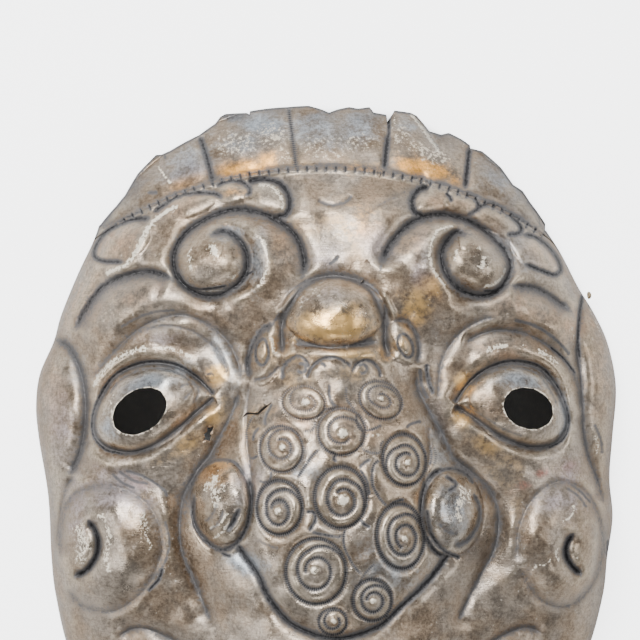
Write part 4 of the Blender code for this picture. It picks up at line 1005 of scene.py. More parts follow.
TONES = (
    # Blue-grey bloom; the patches over the upper parts of the eyeballs are a painted reflection.
    Tone("blue_bloom_and_reflection", (0.37, 0.41, 0.45), (
        Stain(-60, 136, 14, 8, 25, 0.6), Stain(-28, 152, 12, 5, 0, 0.9), Stain(-6, 150, 14, 8, 0, 0.6),
        Stain(14, 150, 12, 8, 0, 0.6), Stain(-36, 144, 10, 6, 0, 0.6), Stain(-30, 92, 4, 14, -5, 0.8),
        Stain(-44, 103, 9, 4, 0, 0.6), Stain(45, 92, 4, 12, 8, 0.3), Stain(-76, 38, 18, 5, 20, 0.9),
        Stain(88, 38, 16, 5, -10, 0.75), Stain(-36, -44, 9, 5, -20, 1.0), Stain(84, 100, 8, 10, -35, 0.5),
        Stain(92, 90, 10, 5, -35, 0.4), Stain(106, 22, 4, 12, 0, 0.7), Stain(-98, 16, 6, 9, 0, 0.5),
        Stain(50, 8, 5, 16, 10, 0.5), Stain(-46, 46, 5, 14, 20, 0.6), Stain(30, -45, 14, 12, 0, 0.4),
        Stain(-112, 45, 4, 12, 20, 0.4), Stain(56, -22, 9, 12, 0, 0.5), Stain(4, 146, 14, 7, 0, 0.5),
        Stain(36, 153, 5, 5, 0, 0.4), Stain(80, 128, 12, 10, -40, 0.35), Stain(-10, 0, 8, 10, 30, 0.4),
    )),
    Tone("lilac_grey", (0.42, 0.36, 0.37), (
        Stain(22, 98, 9, 10, 0, 0.5), Stain(2, 92, 10, 7, 0, 0.4), Stain(-60, 132, 10, 5, 20, 0.4),
        Stain(-30, -10, 8, 14, 0, 0.4), Stain(-36, -8, 5, 10, 0, 0.5), Stain(42, 84, 5, 8, 10, 0.6),
        Stain(-92, -12, 16, 12, 0, 0.6), Stain(-118, 18, 8, 16, 0, 0.5), Stain(-112, -20, 7, 16, 0, 0.5),
        Stain(106, -16, 12, 8, 0, 0.5), Stain(108, -4, 8, 8, 0, 0.5), Stain(0, 76, 14, 5, 0, 0.3),
        Stain(-75, 56, 14, 4, 0, 0.4),
    )),
    Tone("rosy_tan", (0.47, 0.31, 0.20), (
        Stain(-108, 72, 8, 14, -30, 0.6), Stain(-94, 98, 12, 8, 20, 0.7), Stain(-66, 116, 12, 5, 20, 0.7),
        Stain(-122, 30, 6, 16, 0, 0.4), Stain(47, 116, 8, 6, 0, 0.8), Stain(60, 114, 8, 5, 0, 0.7),
        Stain(40, 100, 10, 6, 45, 0.6), Stain(75, 108, 12, 5, -30, 0.6), Stain(98, 92, 12, 6, -40, 0.7),
        Stain(72, 104, 10, 5, -40, 0.5), Stain(110, 62, 12, 10, 0, 0.6), Stain(80, 50, 18, 5, 0, 0.6),
        Stain(-98, 38, 10, 8, 40, 0.5), Stain(-20, 98, 8, 14, 20, 0.5), Stain(-48, 66, 24, 6, 0, 0.3),
        Stain(74, 22, 10, 6, -20, 0.5), Stain(-65, 20, 8, 5, 30, 0.6), Stain(14, 20, 16, 14, 0, 0.45),
        Stain(-14, 20, 14, 14, 0, 0.5), Stain(88, 68, 20, 8, -20, 0.5), Stain(-50, -4, 8, 6, 0, 0.6),
        Stain(122, 40, 5, 20, 0, 0.4), Stain(-85, 76, 20, 8, 10, 0.4),
    )),
    # Soot grey, and painted shade: the dark underside of the curled lip and the folded-down corner of the crest.
    Tone("soot_and_shade_grey", (0.13, 0.13, 0.135), (
        Stain(-90, 122, 12, 7, 40, 0.75), Stain(-99, 111, 7, 6, 40, 0.75), Stain(-41, 155.5, 6, 2.2, 0, 0.95),
        Stain(52, 148, 9, 5, -35, 0.6), Stain(74, 132, 12, 7, -30, 0.35), Stain(90, 116, 8, 12, -50, 0.45),
        Stain(-2, 156, 10, 3, 0, 0.5), Stain(18, 156, 8, 3, 0, 0.5), Stain(30, -42, 16, 12, 0, 0.3),
        Stain(60, -36, 12, 8, 0, 0.45), Stain(-42, -26, 4, 8, 0, 0.6), Stain(20, -8, 6, 10, 0, 0.25),
        Stain(-70, 78, 10, 6, 0, 0.3), Stain(0, 102, 6, 10, 40, 0.3), Stain(14, -50, 12, 10, 0, 0.35),
        Stain(48, 62, 5, 10, 0, 0.3), Stain(90, -46, 8, 8, 0, 0.3), Stain(66, 78, 14, 4, 0, 0.35),
        Stain(55, -14, 8, 6, 0, 0.55), Stain(46, -24, 4, 12, 0, 0.5), Stain(0, -30, 40, 18, 0, 0.22),
        Stain(64, -34, 6, 8, 0, 0.4), Stain(-38, -14, 3, 14, 0, 0.45), Stain(-20, 158, 10, 2, 0, 0.5),
    )),
    Tone("amber", (0.86, 0.42, 0.09), (
        Stain(-37, 132, 13, 4.5, 8, 0.95), Stain(-26, 136, 5, 5, 0, 0.6), Stain(-62, 126, 9, 3, 20, 0.5),
        Stain(44, 132, 15, 4.5, -12, 0.95), Stain(58, 127, 5, 4, -20, 0.5), Stain(16, 132, 12, 2.5, -3, 0.45),
        Stain(-41, 121.5, 6, 3, 0, 0.5), Stain(46, 80, 5, 7, 0, 0.4), Stain(38, 66, 6, 9, -20, 0.4),
        Stain(16, 108, 8, 7, 30, 0.35), Stain(-52, 40, 3, 4, 30, 0.5), Stain(62, 36, 5, 3, 50, 0.35),
        Stain(-50, -5, 8, 5, 0, 0.35),
    )),
    Tone("red_stain", (0.34, 0.09, 0.06), (
        Stain(96, -4, 4, 2.5, 20, 0.6), Stain(88, -10, 6, 2.5, 30, 0.35), Stain(109, -1, 5, 2, 30, 0.25),
        Stain(-83, -8, 6, 3, -20, 0.2),
    )),
    # Umber stains, and painted shadow in the fold at the muzzle's right edge.
    Tone("umber_and_shade", (0.17, 0.115, 0.075), (
        Stain(46, 34, 5, 12, -10, 0.6), Stain(51, 18, 4, 10, 10, 0.7), Stain(90, -34, 3, 2.5, 0, 0.8),
        Stain(80, -30, 6, 14, 0, 0.45), Stain(72, -44, 8, 12, 0, 0.4), Stain(-60, 50, 10, 5, -30, 0.3),
        Stain(-52, -10, 3, 6, 0, 0.3), Stain(48, 76, 8, 6, -40, 0.3), Stain(-68, -40, 6, 16, 0, 0.35),
        Stain(18, 122, 10, 6, 0, 0.3), Stain(-104, 4, 5, 8, 0, 0.25), Stain(126, -20, 4, 20, 0, 0.3),
        Stain(82, 108, 16, 12, -35, 0.25), Stain(70, 92, 18, 16, 0, 0.25),
    )),
)

GLOSS = (
    Stain(-47, -16, 13, 19, 5, 1.0), Stain(56, -22, 14, 19, -3, 1.0), Stain(4, 64, 22, 14, 0, 0.7),
    Stain(-78, 26, 24, 14, 26, 0.4), Stain(84, 26, 22, 14, -22, 0.4), Stain(5, -30, 46, 60, 0, 0.35),
    Stain(-50, 91, 16, 16, 0, 0.4), Stain(67, 90, 16, 15, 0, 0.4), Stain(-88, -34, 22, 22, 0, 0.4),
)

# Caked cream patches; those on the cheeks, the left nostril, the left brow knob and the top of the nose bridge are
# painted highlights.
PALE_AND_HIGHLIGHT = (
    Stain(-108, 84, 7, 12, -25, 0.45), Stain(-92, 80, 14, 4, 15, 0.5), Stain(-100, 68, 8, 12, -40, 0.45),
    Stain(-60, 139, 9, 6, 0, 0.5), Stain(-40, 143, 12, 7, 0, 0.95), Stain(-24, 147, 10, 6, 0, 0.95),
    Stain(-6, 143, 9, 5, 0, 0.8), Stain(14, 144, 14, 6, 0, 0.8), Stain(34, 148, 6, 9, 0, 0.8),
    Stain(46, 139, 14, 5, -25, 0.95), Stain(-18, 139, 5, 7, 0, 0.7), Stain(0, 138, 12, 4, 0, 0.7), Stain(-88, 66, 12, 5, 20, 0.35), Stain(20, 66, 5, 14, 0, 0.5),
    Stain(-16, 66, 3, 12, 10, 0.5), Stain(2, 77, 16, 4, 0, 0.35), Stain(-47, 92, 6, 8, 0, 0.25),
    Stain(-48, -14, 8, 12, 0, 0.5), Stain(-88, -24, 18, 10, 0, 0.35), Stain(-100, -34, 14, 14, 0, 0.3),
    Stain(60, -22, 8, 8, 0, 0.4), Stain(118, 62, 5, 10, 0, 0.35), Stain(-8, 6, 8, 6, 30, 0.35),
    Stain(48, 113, 10, 4, 0, 0.35), Stain(38, 103, 10, 5, 40, 0.2), Stain(100, 72, 12, 4, -20, 0.25),
    Stain(-90, 94, 10, 4, 30, 0.4), Stain(-66, 52, 14, 4, 0, 0.2), Stain(70, 17, 6, 4, 0, 0.4),
    Stain(92, -26, 6, 9, 0, 0.3),
)


def spread(stains: tuple, x: np.ndarray, y: np.ndarray) -> np.ndarray:
    """The strongest of a set of soft patches at each point."""
    total = np.zeros_like(x)
    for stain in stains:
        u, v = local(x, y, stain)
        total = np.maximum(total, stain.strength * np.exp(-((u * u + v * v) ** 1.3)))
    return total


@dataclass
class ReliefChart:
    """The front's height on an even grid, for telling hollows from ridges."""

    relief: Relief
    pitch: float = 0.5
    half_x: float = 134.0
    half_y: float = 164.0

    def __post_init__(self) -> None:
        """Fills the grid."""
        xs = np.arange(-self.half_x, self.half_x, self.pitch)
        ys = np.arange(-self.half_y, self.half_y, self.pitch)
        grid_x, grid_y = np.meshgrid(xs, ys)
        ground = self.relief.survey(grid_x.ravel(), grid_y.ravel())
        self.height = ground.height.reshape(grid_x.shape)

    def softened(self, reach: float) -> np.ndarray:
        """The grid blurred over a reach in millimetres."""
        rows, columns = self.height.shape
        fy = np.fft.fftfreq(rows, self.pitch)[:, None]
        fx = np.fft.rfftfreq(columns, self.pitch)[None, :]
        fall = np.exp(-2 * (np.pi * reach) ** 2 * (fx * fx + fy * fy))
        return np.fft.irfft2(np.fft.rfft2(self.height) * fall, self.height.shape)

    def read(self, grid: np.ndarray, x: np.ndarray, y: np.ndarray) -> np.ndarray:
        """A grid's values between its points.

        Args:
            grid: Values on this chart's grid.
            x: Places across.
            y: Places along.

        Returns:
            The value at each place.
        """
        u = np.clip((x + self.half_x) / self.pitch, 0, grid.shape[1] - 1.001)
        v = np.clip((y + self.half_y) / self.pitch, 0, grid.shape[0] - 1.001)
        i, j = u.astype(int), v.astype(int)
        s, t = u - i, v - j
        top = grid[j, i] * (1 - s) + grid[j, i + 1] * s
        low = grid[j + 1, i] * (1 - s) + grid[j + 1, i + 1] * s
        return top * (1 - t) + low * t


def vertex_array(mesh: bpy.types.Mesh) -> np.ndarray:
    """A mesh's vertex places as rows."""
    flat = np.empty(len(mesh.vertices) * 3, np.float32)
    mesh.vertices.foreach_get("co", flat)
    return flat.reshape(-1, 3).astype(float)


def normal_array(mesh: bpy.types.Mesh) -> np.ndarray:
    """A mesh's vertex normals as rows."""
    flat = np.empty(len(mesh.vertices) * 3, np.float32)
    mesh.vertex_normals.foreach_get("vector", flat)
    return flat.reshape(-1, 3).astype(float)


def place_vertices(mesh: bpy.types.Mesh, points: np.ndarray) -> None:
    """Moves a mesh's vertices to new places."""
    mesh.vertices.foreach_set("co", points.astype(np.float32).ravel())
    mesh.update()


def new_object(name: str, mesh: bpy.types.Mesh) -> bpy.types.Object:
    """Links a mesh into the scene as an object."""
    obj = bpy.data.objects.new(name, mesh)
    bpy.context.scene.collection.objects.link(obj)
    return obj


def modified(mesh: bpy.types.Mesh, kind: str, **settings: object) -> bpy.types.Mesh:
    """The mesh that one modifier makes of a mesh.

    Args:
        mesh: The mesh to start from.
        kind: The modifier's type.
        **settings: Its settings.

    Returns:
        The new mesh.
    """
    carrier = new_object("carrier", mesh)
    modifier = carrier.modifiers.new("step", kind)
    for name, value in settings.items():
        setattr(modifier, name, value)
    graph = bpy.context.evaluated_depsgraph_get()
    result = bpy.data.meshes.new_from_object(carrier.evaluated_get(graph))
    bpy.data.objects.remove(carrier)
    return result


def border_loop(mesh: bpy.types.Mesh) -> np.ndarray:
    """The border vertices of an open mesh, in order of direction from its middle."""
    bm = bmesh.new()
    bm.from_mesh(mesh)
    border = np.array([v.index for v in bm.verts if v.is_boundary])
    bm.free()
    points = vertex_array(mesh)[border]
    return border[np.argsort(np.arctan2(points[:, 1], points[:, 0]))]


def store(mesh: bpy.types.Mesh, name: str, values: np.ndarray) -> None:
    """Keeps a number or a colour on every vertex.

    Args:
        mesh: The mesh.
        name: The attribute's name.
        values: One number a vertex, or a row of three.
    """
    if values.ndim == 1:
        mesh.attributes.new(name, "FLOAT", "POINT").data.foreach_set("value", values.astype(np.float32))
    else:
        full = np.column_stack([values, np.ones(len(values))]).astype(np.float32)
        mesh.attributes.new(name, "FLOAT_COLOR", "POINT").data.foreach_set("color", full.ravel())


class NodeSheet:
    """A node tree with short ways to add and join nodes."""

    def __init__(self, tree: bpy.types.NodeTree) -> None:
        """Keeps the tree."""
        self.tree = tree

    def add(self, kind: str, **settings: object) -> bpy.types.Node:
        """Adds a node.

        Args:
            kind: Its type.
            **settings: Its properties.

        Returns:
            The node.
        """
        node = self.tree.nodes.new(kind)
        for name, value in settings.items():
            setattr(node, name, value)
        return node

    def feed(self, socket: bpy.types.NodeSocket, value: object) -> None:
        """Joins an output to a socket, or sets the socket to a plain value."""
        if isinstance(value, bpy.types.NodeSocket):
            self.tree.links.new(value, socket)
        else:
            socket.default_value = value

    def maths(self, operation: str, *values: object, clamp: bool = False) -> bpy.types.NodeSocket:
        """A Math node's result.

        Args:
            operation: Its operation.
            *values: Its inputs, as sockets or numbers.
            clamp: Whether to keep it between 0 and 1.

        Returns:
            Its output.
        """
        node = self.add("ShaderNodeMath", operation=operation, use_clamp=clamp)
        for socket, value in zip(node.inputs, values):
            self.feed(socket, value)
        return node.outputs[0]

    def ramp(self, value: object, low: float, high: float, to_low: float = 0.0, to_high: float = 1.0) -> object:
        """Maps a range of values smoothly onto another."""
        node = self.add("ShaderNodeMapRange", interpolation_type="SMOOTHSTEP")
        for socket, number in zip(node.inputs, (value, low, high, to_low, to_high)):
            self.feed(socket, number)
        return node.outputs["Result"]

    def blend(self, share: object, first: object, second: object, how: str = "MIX") -> bpy.types.NodeSocket:
        """Mixes two colours.

        Args:
            share: How much of the second.
            first: The first colour.
            second: The second colour.
            how: The way of mixing.

        Returns:
            The mixed colour.
        """
        node = self.add("ShaderNodeMix", data_type="RGBA", blend_type=how)
        self.feed(node.inputs[0], share)
        self.feed(node.inputs[6], first)
        self.feed(node.inputs[7], second)
        return node.outputs[2]

    def grain(self, noise: object, strength: float) -> object:
        """A noise about nought, at a strength."""
        return self.maths("MULTIPLY", self.maths("SUBTRACT", noise, 0.5), strength)

    def trait(self, name: str, colour: bool = False) -> bpy.types.NodeSocket:
        """Reads a vertex attribute."""
        node = self.add("ShaderNodeAttribute", attribute_type="GEOMETRY", attribute_name=name)
        return node.outputs["Color" if colour else "Fac"]


def clouds_group() -> bpy.types.NodeTree:
    """Broad, middling and fine patches of tarnish, as a node group.

    Returns:
        The group, with Scale in and Broad, Middle, Fine and Fleck out.
    """
    group = bpy.data.node_groups.new("tarnish_clouds", "ShaderNodeTree")
    group.interface.new_socket("Scale", in_out="INPUT", socket_type="NodeSocketFloat").default_value = 1.0
    for name in ("Broad", "Middle", "Fine", "Fleck"):
        group.interface.new_socket(name, in_out="OUTPUT", socket_type="NodeSocketFloat")
    sheet = NodeSheet(group)
    entry, leave = sheet.add("NodeGroupInput"), sheet.add("NodeGroupOutput")
    place = sheet.add("ShaderNodeTexCoord").outputs["Object"]
    layers = {"Broad": (45.0, 3.0, 0.55), "Middle": (170.0, 4.0, 0.6), "Fine": (620.0, 3.0, 0.6), "Fleck": (1500.0, 2.0, 0.5)}
    for name, (size, detail, rough) in layers.items():
        noise = sheet.add("ShaderNodeTexNoise", noise_dimensions="3D")
        sheet.feed(noise.inputs["Vector"], place)
        sheet.feed(noise.inputs["Scale"], sheet.maths("MULTIPLY", entry.outputs["Scale"], size))
        sheet.feed(noise.inputs["Detail"], detail)
        sheet.feed(noise.inputs["Roughness"], rough)
        sheet.feed(leave.inputs[name], noise.outputs["Fac"])
    return group


def scratch_group() -> bpy.types.NodeTree:
    """Fine crossing rub marks as a height, as a node group.

    Returns:
        The group, with Strength in and Height out.
    """
    group = bpy.data.node_groups.new("rub_marks", "ShaderNodeTree")
    group.interface.new_socket("Strength", in_out="INPUT", socket_type="NodeSocketFloat").default_value = 1.0
    group.interface.new_socket("Height", in_out="OUTPUT", socket_type="NodeSocketFloat")
    sheet = NodeSheet(group)
    entry, leave = sheet.add("NodeGroupInput"), sheet.add("NodeGroupOutput")
    place = sheet.add("ShaderNodeTexCoord").outputs["Object"]
    marks = []
    for turn, stretch in ((0.5, 14.0), (-0.9, 18.0)):
        mapping = sheet.add("ShaderNodeMapping")
        mapping.inputs["Rotation"].default_value = (0.0, 0.0, turn)
        mapping.inputs["Scale"].default_value = (1.0, stretch, 1.0)
        sheet.feed(mapping.inputs["Vector"], place)
        noise = sheet.add("ShaderNodeTexNoise", noise_dimensions="3D")
        sheet.feed(noise.inputs["Vector"], mapping.outputs["Vector"])
        noise.inputs["Scale"].default_value = 120.0
        noise.inputs["Detail"].default_value = 3.0
        marks.append(sheet.ramp(noise.outputs["Fac"], 0.55, 0.72))
    both = sheet.maths("MAXIMUM", marks[0], marks[1])
    sheet.feed(leave.inputs["Height"], sheet.maths("MULTIPLY", both, entry.outputs["Strength"]))
    return group


@dataclass(frozen=True)
class RaisedSilver:
    """The front of the sheet: tarnished silver with soot in its lines, rubbed ridges, old gilding, painted highlights,
    a painted reflection and painted shade.
    """

    brown: tuple = (0.33, 0.245, 0.170, 1.0)
    grey: tuple = (0.37, 0.31, 0.25, 1.0)
    polished: tuple = (0.74, 0.62, 0.46, 1.0)
    gold: tuple = (0.84, 0.52, 0.19, 1.0)
    # Cream of the rubbed silver and of the painted highlights.
    rub_and_highlight_cream: tuple = (0.97, 0.87, 0.70, 1.0)
    # Cream of caked patches and of painted highlights.
    caked_and_highlight: tuple = (0.92, 0.80, 0.62, 1.0)
    slate: tuple = (0.125, 0.125, 0.130, 1.0)
    soot: tuple = (0.022, 0.022, 0.025, 1.0)
    roughness: float = 0.36
    metallic: float = 0.86
    dot_pitch: float = 0.95

    def make(self) -> bpy.types.Material:
        """Builds the material.

        Returns:
            The material, which reads the sheet's vertex attributes.
        """
        material = bpy.data.materials.new("raised_silver")
        material.use_nodes = True
        sheet = NodeSheet(material.node_tree)
        shader = material.node_tree.nodes["Principled BSDF"]
        clouds = sheet.add("ShaderNodeGroup", node_tree=bpy.data.node_groups["tarnish_clouds"])
        rubs = sheet.add("ShaderNodeGroup", node_tree=bpy.data.node_groups["rub_marks"])
        broad, middle, small, fleck = (clouds.outputs[n] for n in ("Broad", "Middle", "Fine", "Fleck"))
        patina, bright, gilt, pale_and_highlight = (sheet.trait(n) for n in ("patina", "bright", "gilt", "pale_and_highlight"))
        punch, place = sheet.trait("punch_weight"), sheet.trait("punch_place")
        tone, tone_share = sheet.trait("tone", colour=True), sheet.trait("tone_share")

        colour = sheet.blend(sheet.ramp(broad, 0.38, 0.62), self.brown, self.grey)
        patch = sheet.maths("ADD", tone_share, sheet.maths("ADD", sheet.grain(middle, 1.3), sheet.grain(small, 0.8)))
        patch = sheet.maths("MULTIPLY", sheet.ramp(patch, 0.08, 0.92), 0.92)
        colour = sheet.blend(patch, colour, tone)
        polish = sheet.maths("ADD", sheet.trait("polish"), sheet.grain(small, 0.8), clamp=True)
        colour = sheet.blend(sheet.maths("MULTIPLY", polish, 0.45), colour, self.polished)
        shade = sheet.maths("MULTIPLY", sheet.ramp(middle, 0.3, 0.72, 0.83, 1.17), sheet.ramp(small, 0.3, 0.7, 0.78, 1.2))
        shade = sheet.maths("MULTIPLY", shade, sheet.ramp(fleck, 0.3, 0.7, 0.85, 1.12))
        shade = sheet.maths("MULTIPLY", shade, sheet.ramp(rubs.outputs["Height"], 0.0, 1.0, 1.0, 0.84))
        colour = sheet.blend(1.0, colour, self.grey_of(sheet, shade), "MULTIPLY")
        gild = sheet.maths("ADD", gilt, sheet.grain(middle, 1.6))
        gild = sheet.maths("ADD", gild, sheet.grain(small, 0.9))
        gild = sheet.maths("MULTIPLY", sheet.ramp(gild, 0.15, 0.85), sheet.maths("MULTIPLY", gilt, 1.2, clamp=True))
        colour = sheet.blend(gild, colour, self.gold)
        grit = sheet.maths("ADD", sheet.grain(small, 1.7), sheet.grain(fleck, 0.7))
        # Caked cream patches, some of them painted highlights.
        caked_and_highlight = sheet.ramp(sheet.maths("ADD", sheet.maths("MULTIPLY", pale_and_highlight, 0.46), grit), 0.43, 0.56)
        colour = sheet.blend(sheet.maths("MULTIPLY", caked_and_highlight, 0.8), colour, self.caked_and_highlight)
        # Where the cream of rubbed silver and of painted highlights shows.
        rub_and_highlight_mask = sheet.ramp(sheet.maths("ADD", bright, sheet.maths("MULTIPLY", grit, 1.25)), 0.46, 0.62)
        gap = sheet.maths("COSINE", sheet.maths("MULTIPLY", place, 2 * math.pi / self.dot_pitch))
        gap = sheet.maths("MULTIPLY", sheet.ramp(gap, -0.4, 0.5, 1.0, 0.0), punch)
        soot = sheet.maths("SUBTRACT", patina, sheet.maths("MULTIPLY", gap, 0.36))
        soot = sheet.maths("ADD", soot, sheet.maths("MULTIPLY", grit, 0.6))
        black = sheet.maths("MULTIPLY", sheet.ramp(soot, 0.55, 1.0), 0.93)
        soot = sheet.ramp(soot, 0.06, 0.55)
        colour = sheet.blend(rub_and_highlight_mask, colour, self.rub_and_highlight_cream)
        colour = sheet.blend(sheet.maths("MULTIPLY", soot, 0.9), colour, self.slate)
        colour = sheet.blend(black, colour, self.soot)
        sheet.feed(shader.inputs["Base Color"], colour)

        rough = sheet.ramp(middle, 0.3, 0.7, self.roughness - 0.08, self.roughness + 0.10)
        rough = sheet.maths("SUBTRACT", rough, sheet.maths("MULTIPLY", sheet.trait("gloss"), 0.13))
        rough = sheet.maths("ADD", rough, sheet.maths("MULTIPLY", soot, 0.25))
        sheet.feed(shader.inputs["Roughness"], sheet.maths("ADD", rough, sheet.maths("MULTIPLY", rub_and_highlight_mask, 0.05)))
        metal = sheet.maths("SUBTRACT", self.metallic, sheet.maths("MULTIPLY", soot, 0.35))
        metal = sheet.maths("SUBTRACT", metal, sheet.maths("MULTIPLY", caked_and_highlight, 0.4))
        sheet.feed(shader.inputs["Metallic"], sheet.maths("SUBTRACT", metal, sheet.maths("MULTIPLY", rub_and_highlight_mask, 0.6)))
        height = sheet.maths("MULTIPLY", middle, 0.6)
        height = sheet.maths("ADD", height, sheet.maths("MULTIPLY", small, 0.34))
        height = sheet.maths("ADD", height, sheet.maths("MULTIPLY", fleck, 0.13))
        height = sheet.maths("ADD", height, sheet.maths("MULTIPLY", rubs.outputs["Height"], 0.06))
        height = sheet.maths("ADD", height, sheet.maths("MULTIPLY", gap, 0.22))
        bump = sheet.add("ShaderNodeBump")
        bump.inputs["Strength"].default_value = 0.55
        bump.inputs["Distance"].default_value = 0.0006
        sheet.feed(bump.inputs["Height"], height)
        sheet.feed(shader.inputs["Normal"], bump.outputs["Normal"])
        return material

    @staticmethod
    def grey_of(sheet: NodeSheet, value: bpy.types.NodeSocket) -> bpy.types.NodeSocket:
        """A number as a grey colour."""
        node = sheet.add("ShaderNodeCombineColor")
        for socket in node.inputs:
            sheet.feed(socket, value)
        return node.outputs[0]


@dataclass(frozen=True)
class InnerSilver:
    """The back of the sheet: darker, duller silver that nobody polishes."""

    dull: tuple = (0.20, 0.17, 0.14, 1.0)
    spotted: tuple = (0.36, 0.31, 0.26, 1.0)
    roughness: float = 0.52

    def make(self) -> bpy.types.Material:
        """Builds the material."""
        material = bpy.data.materials.new("inner_silver")
        material.use_nodes = True
        sheet = NodeSheet(material.node_tree)
        shader = material.node_tree.nodes["Principled BSDF"]
        clouds = sheet.add("ShaderNodeGroup", node_tree=bpy.data.node_groups["tarnish_clouds"])
        spots = sheet.ramp(clouds.outputs["Middle"], 0.42, 0.66)
        colour = sheet.blend(spots, self.dull, self.spotted)
        colour = sheet.blend(sheet.maths("MULTIPLY", sheet.trait("patina"), 0.5), colour, (0.05, 0.045, 0.04, 1.0))
        sheet.feed(shader.inputs["Base Color"], colour)
        sheet.feed(shader.inputs["Roughness"], sheet.ramp(clouds.outputs["Broad"], 0.3, 0.7, self.roughness - 0.1,
                                                         self.roughness + 0.1))
        shader.inputs["Metallic"].default_value = 0.8
        bump = sheet.add("ShaderNodeBump")
        bump.inputs["Strength"].default_value = 0.5
        bump.inputs["Distance"].default_value = 0.0006
        sheet.feed(bump.inputs["Height"], clouds.outputs["Middle"])
        sheet.feed(shader.inputs["Normal"], bump.outputs["Normal"])
        return material


@dataclass(frozen=True)
class TanThread:
    """Dry twisted thread."""

    light: tuple = (0.52, 0.41, 0.26, 1.0)
    dirty: tuple = (0.20, 0.15, 0.09, 1.0)

    def make(self) -> bpy.types.Material:
        """Builds the material."""
        material = bpy.data.materials.new("tan_thread")
        material.use_nodes = True
        sheet = NodeSheet(material.node_tree)
        shader = material.node_tree.nodes["Principled BSDF"]
        clouds = sheet.add("ShaderNodeGroup", node_tree=bpy.data.node_groups["tarnish_clouds"])
        colour = sheet.blend(sheet.ramp(clouds.outputs["Fine"], 0.35, 0.65), self.dirty, self.light)
        sheet.feed(shader.inputs["Base Color"], colour)
        shader.inputs["Roughness"].default_value = 0.9
        bump = sheet.add("ShaderNodeBump")
        bump.inputs["Distance"].default_value = 0.0002
        sheet.feed(bump.inputs["Height"], clouds.outputs["Fleck"])
        sheet.feed(shader.inputs["Normal"], bump.outputs["Normal"])
        return material


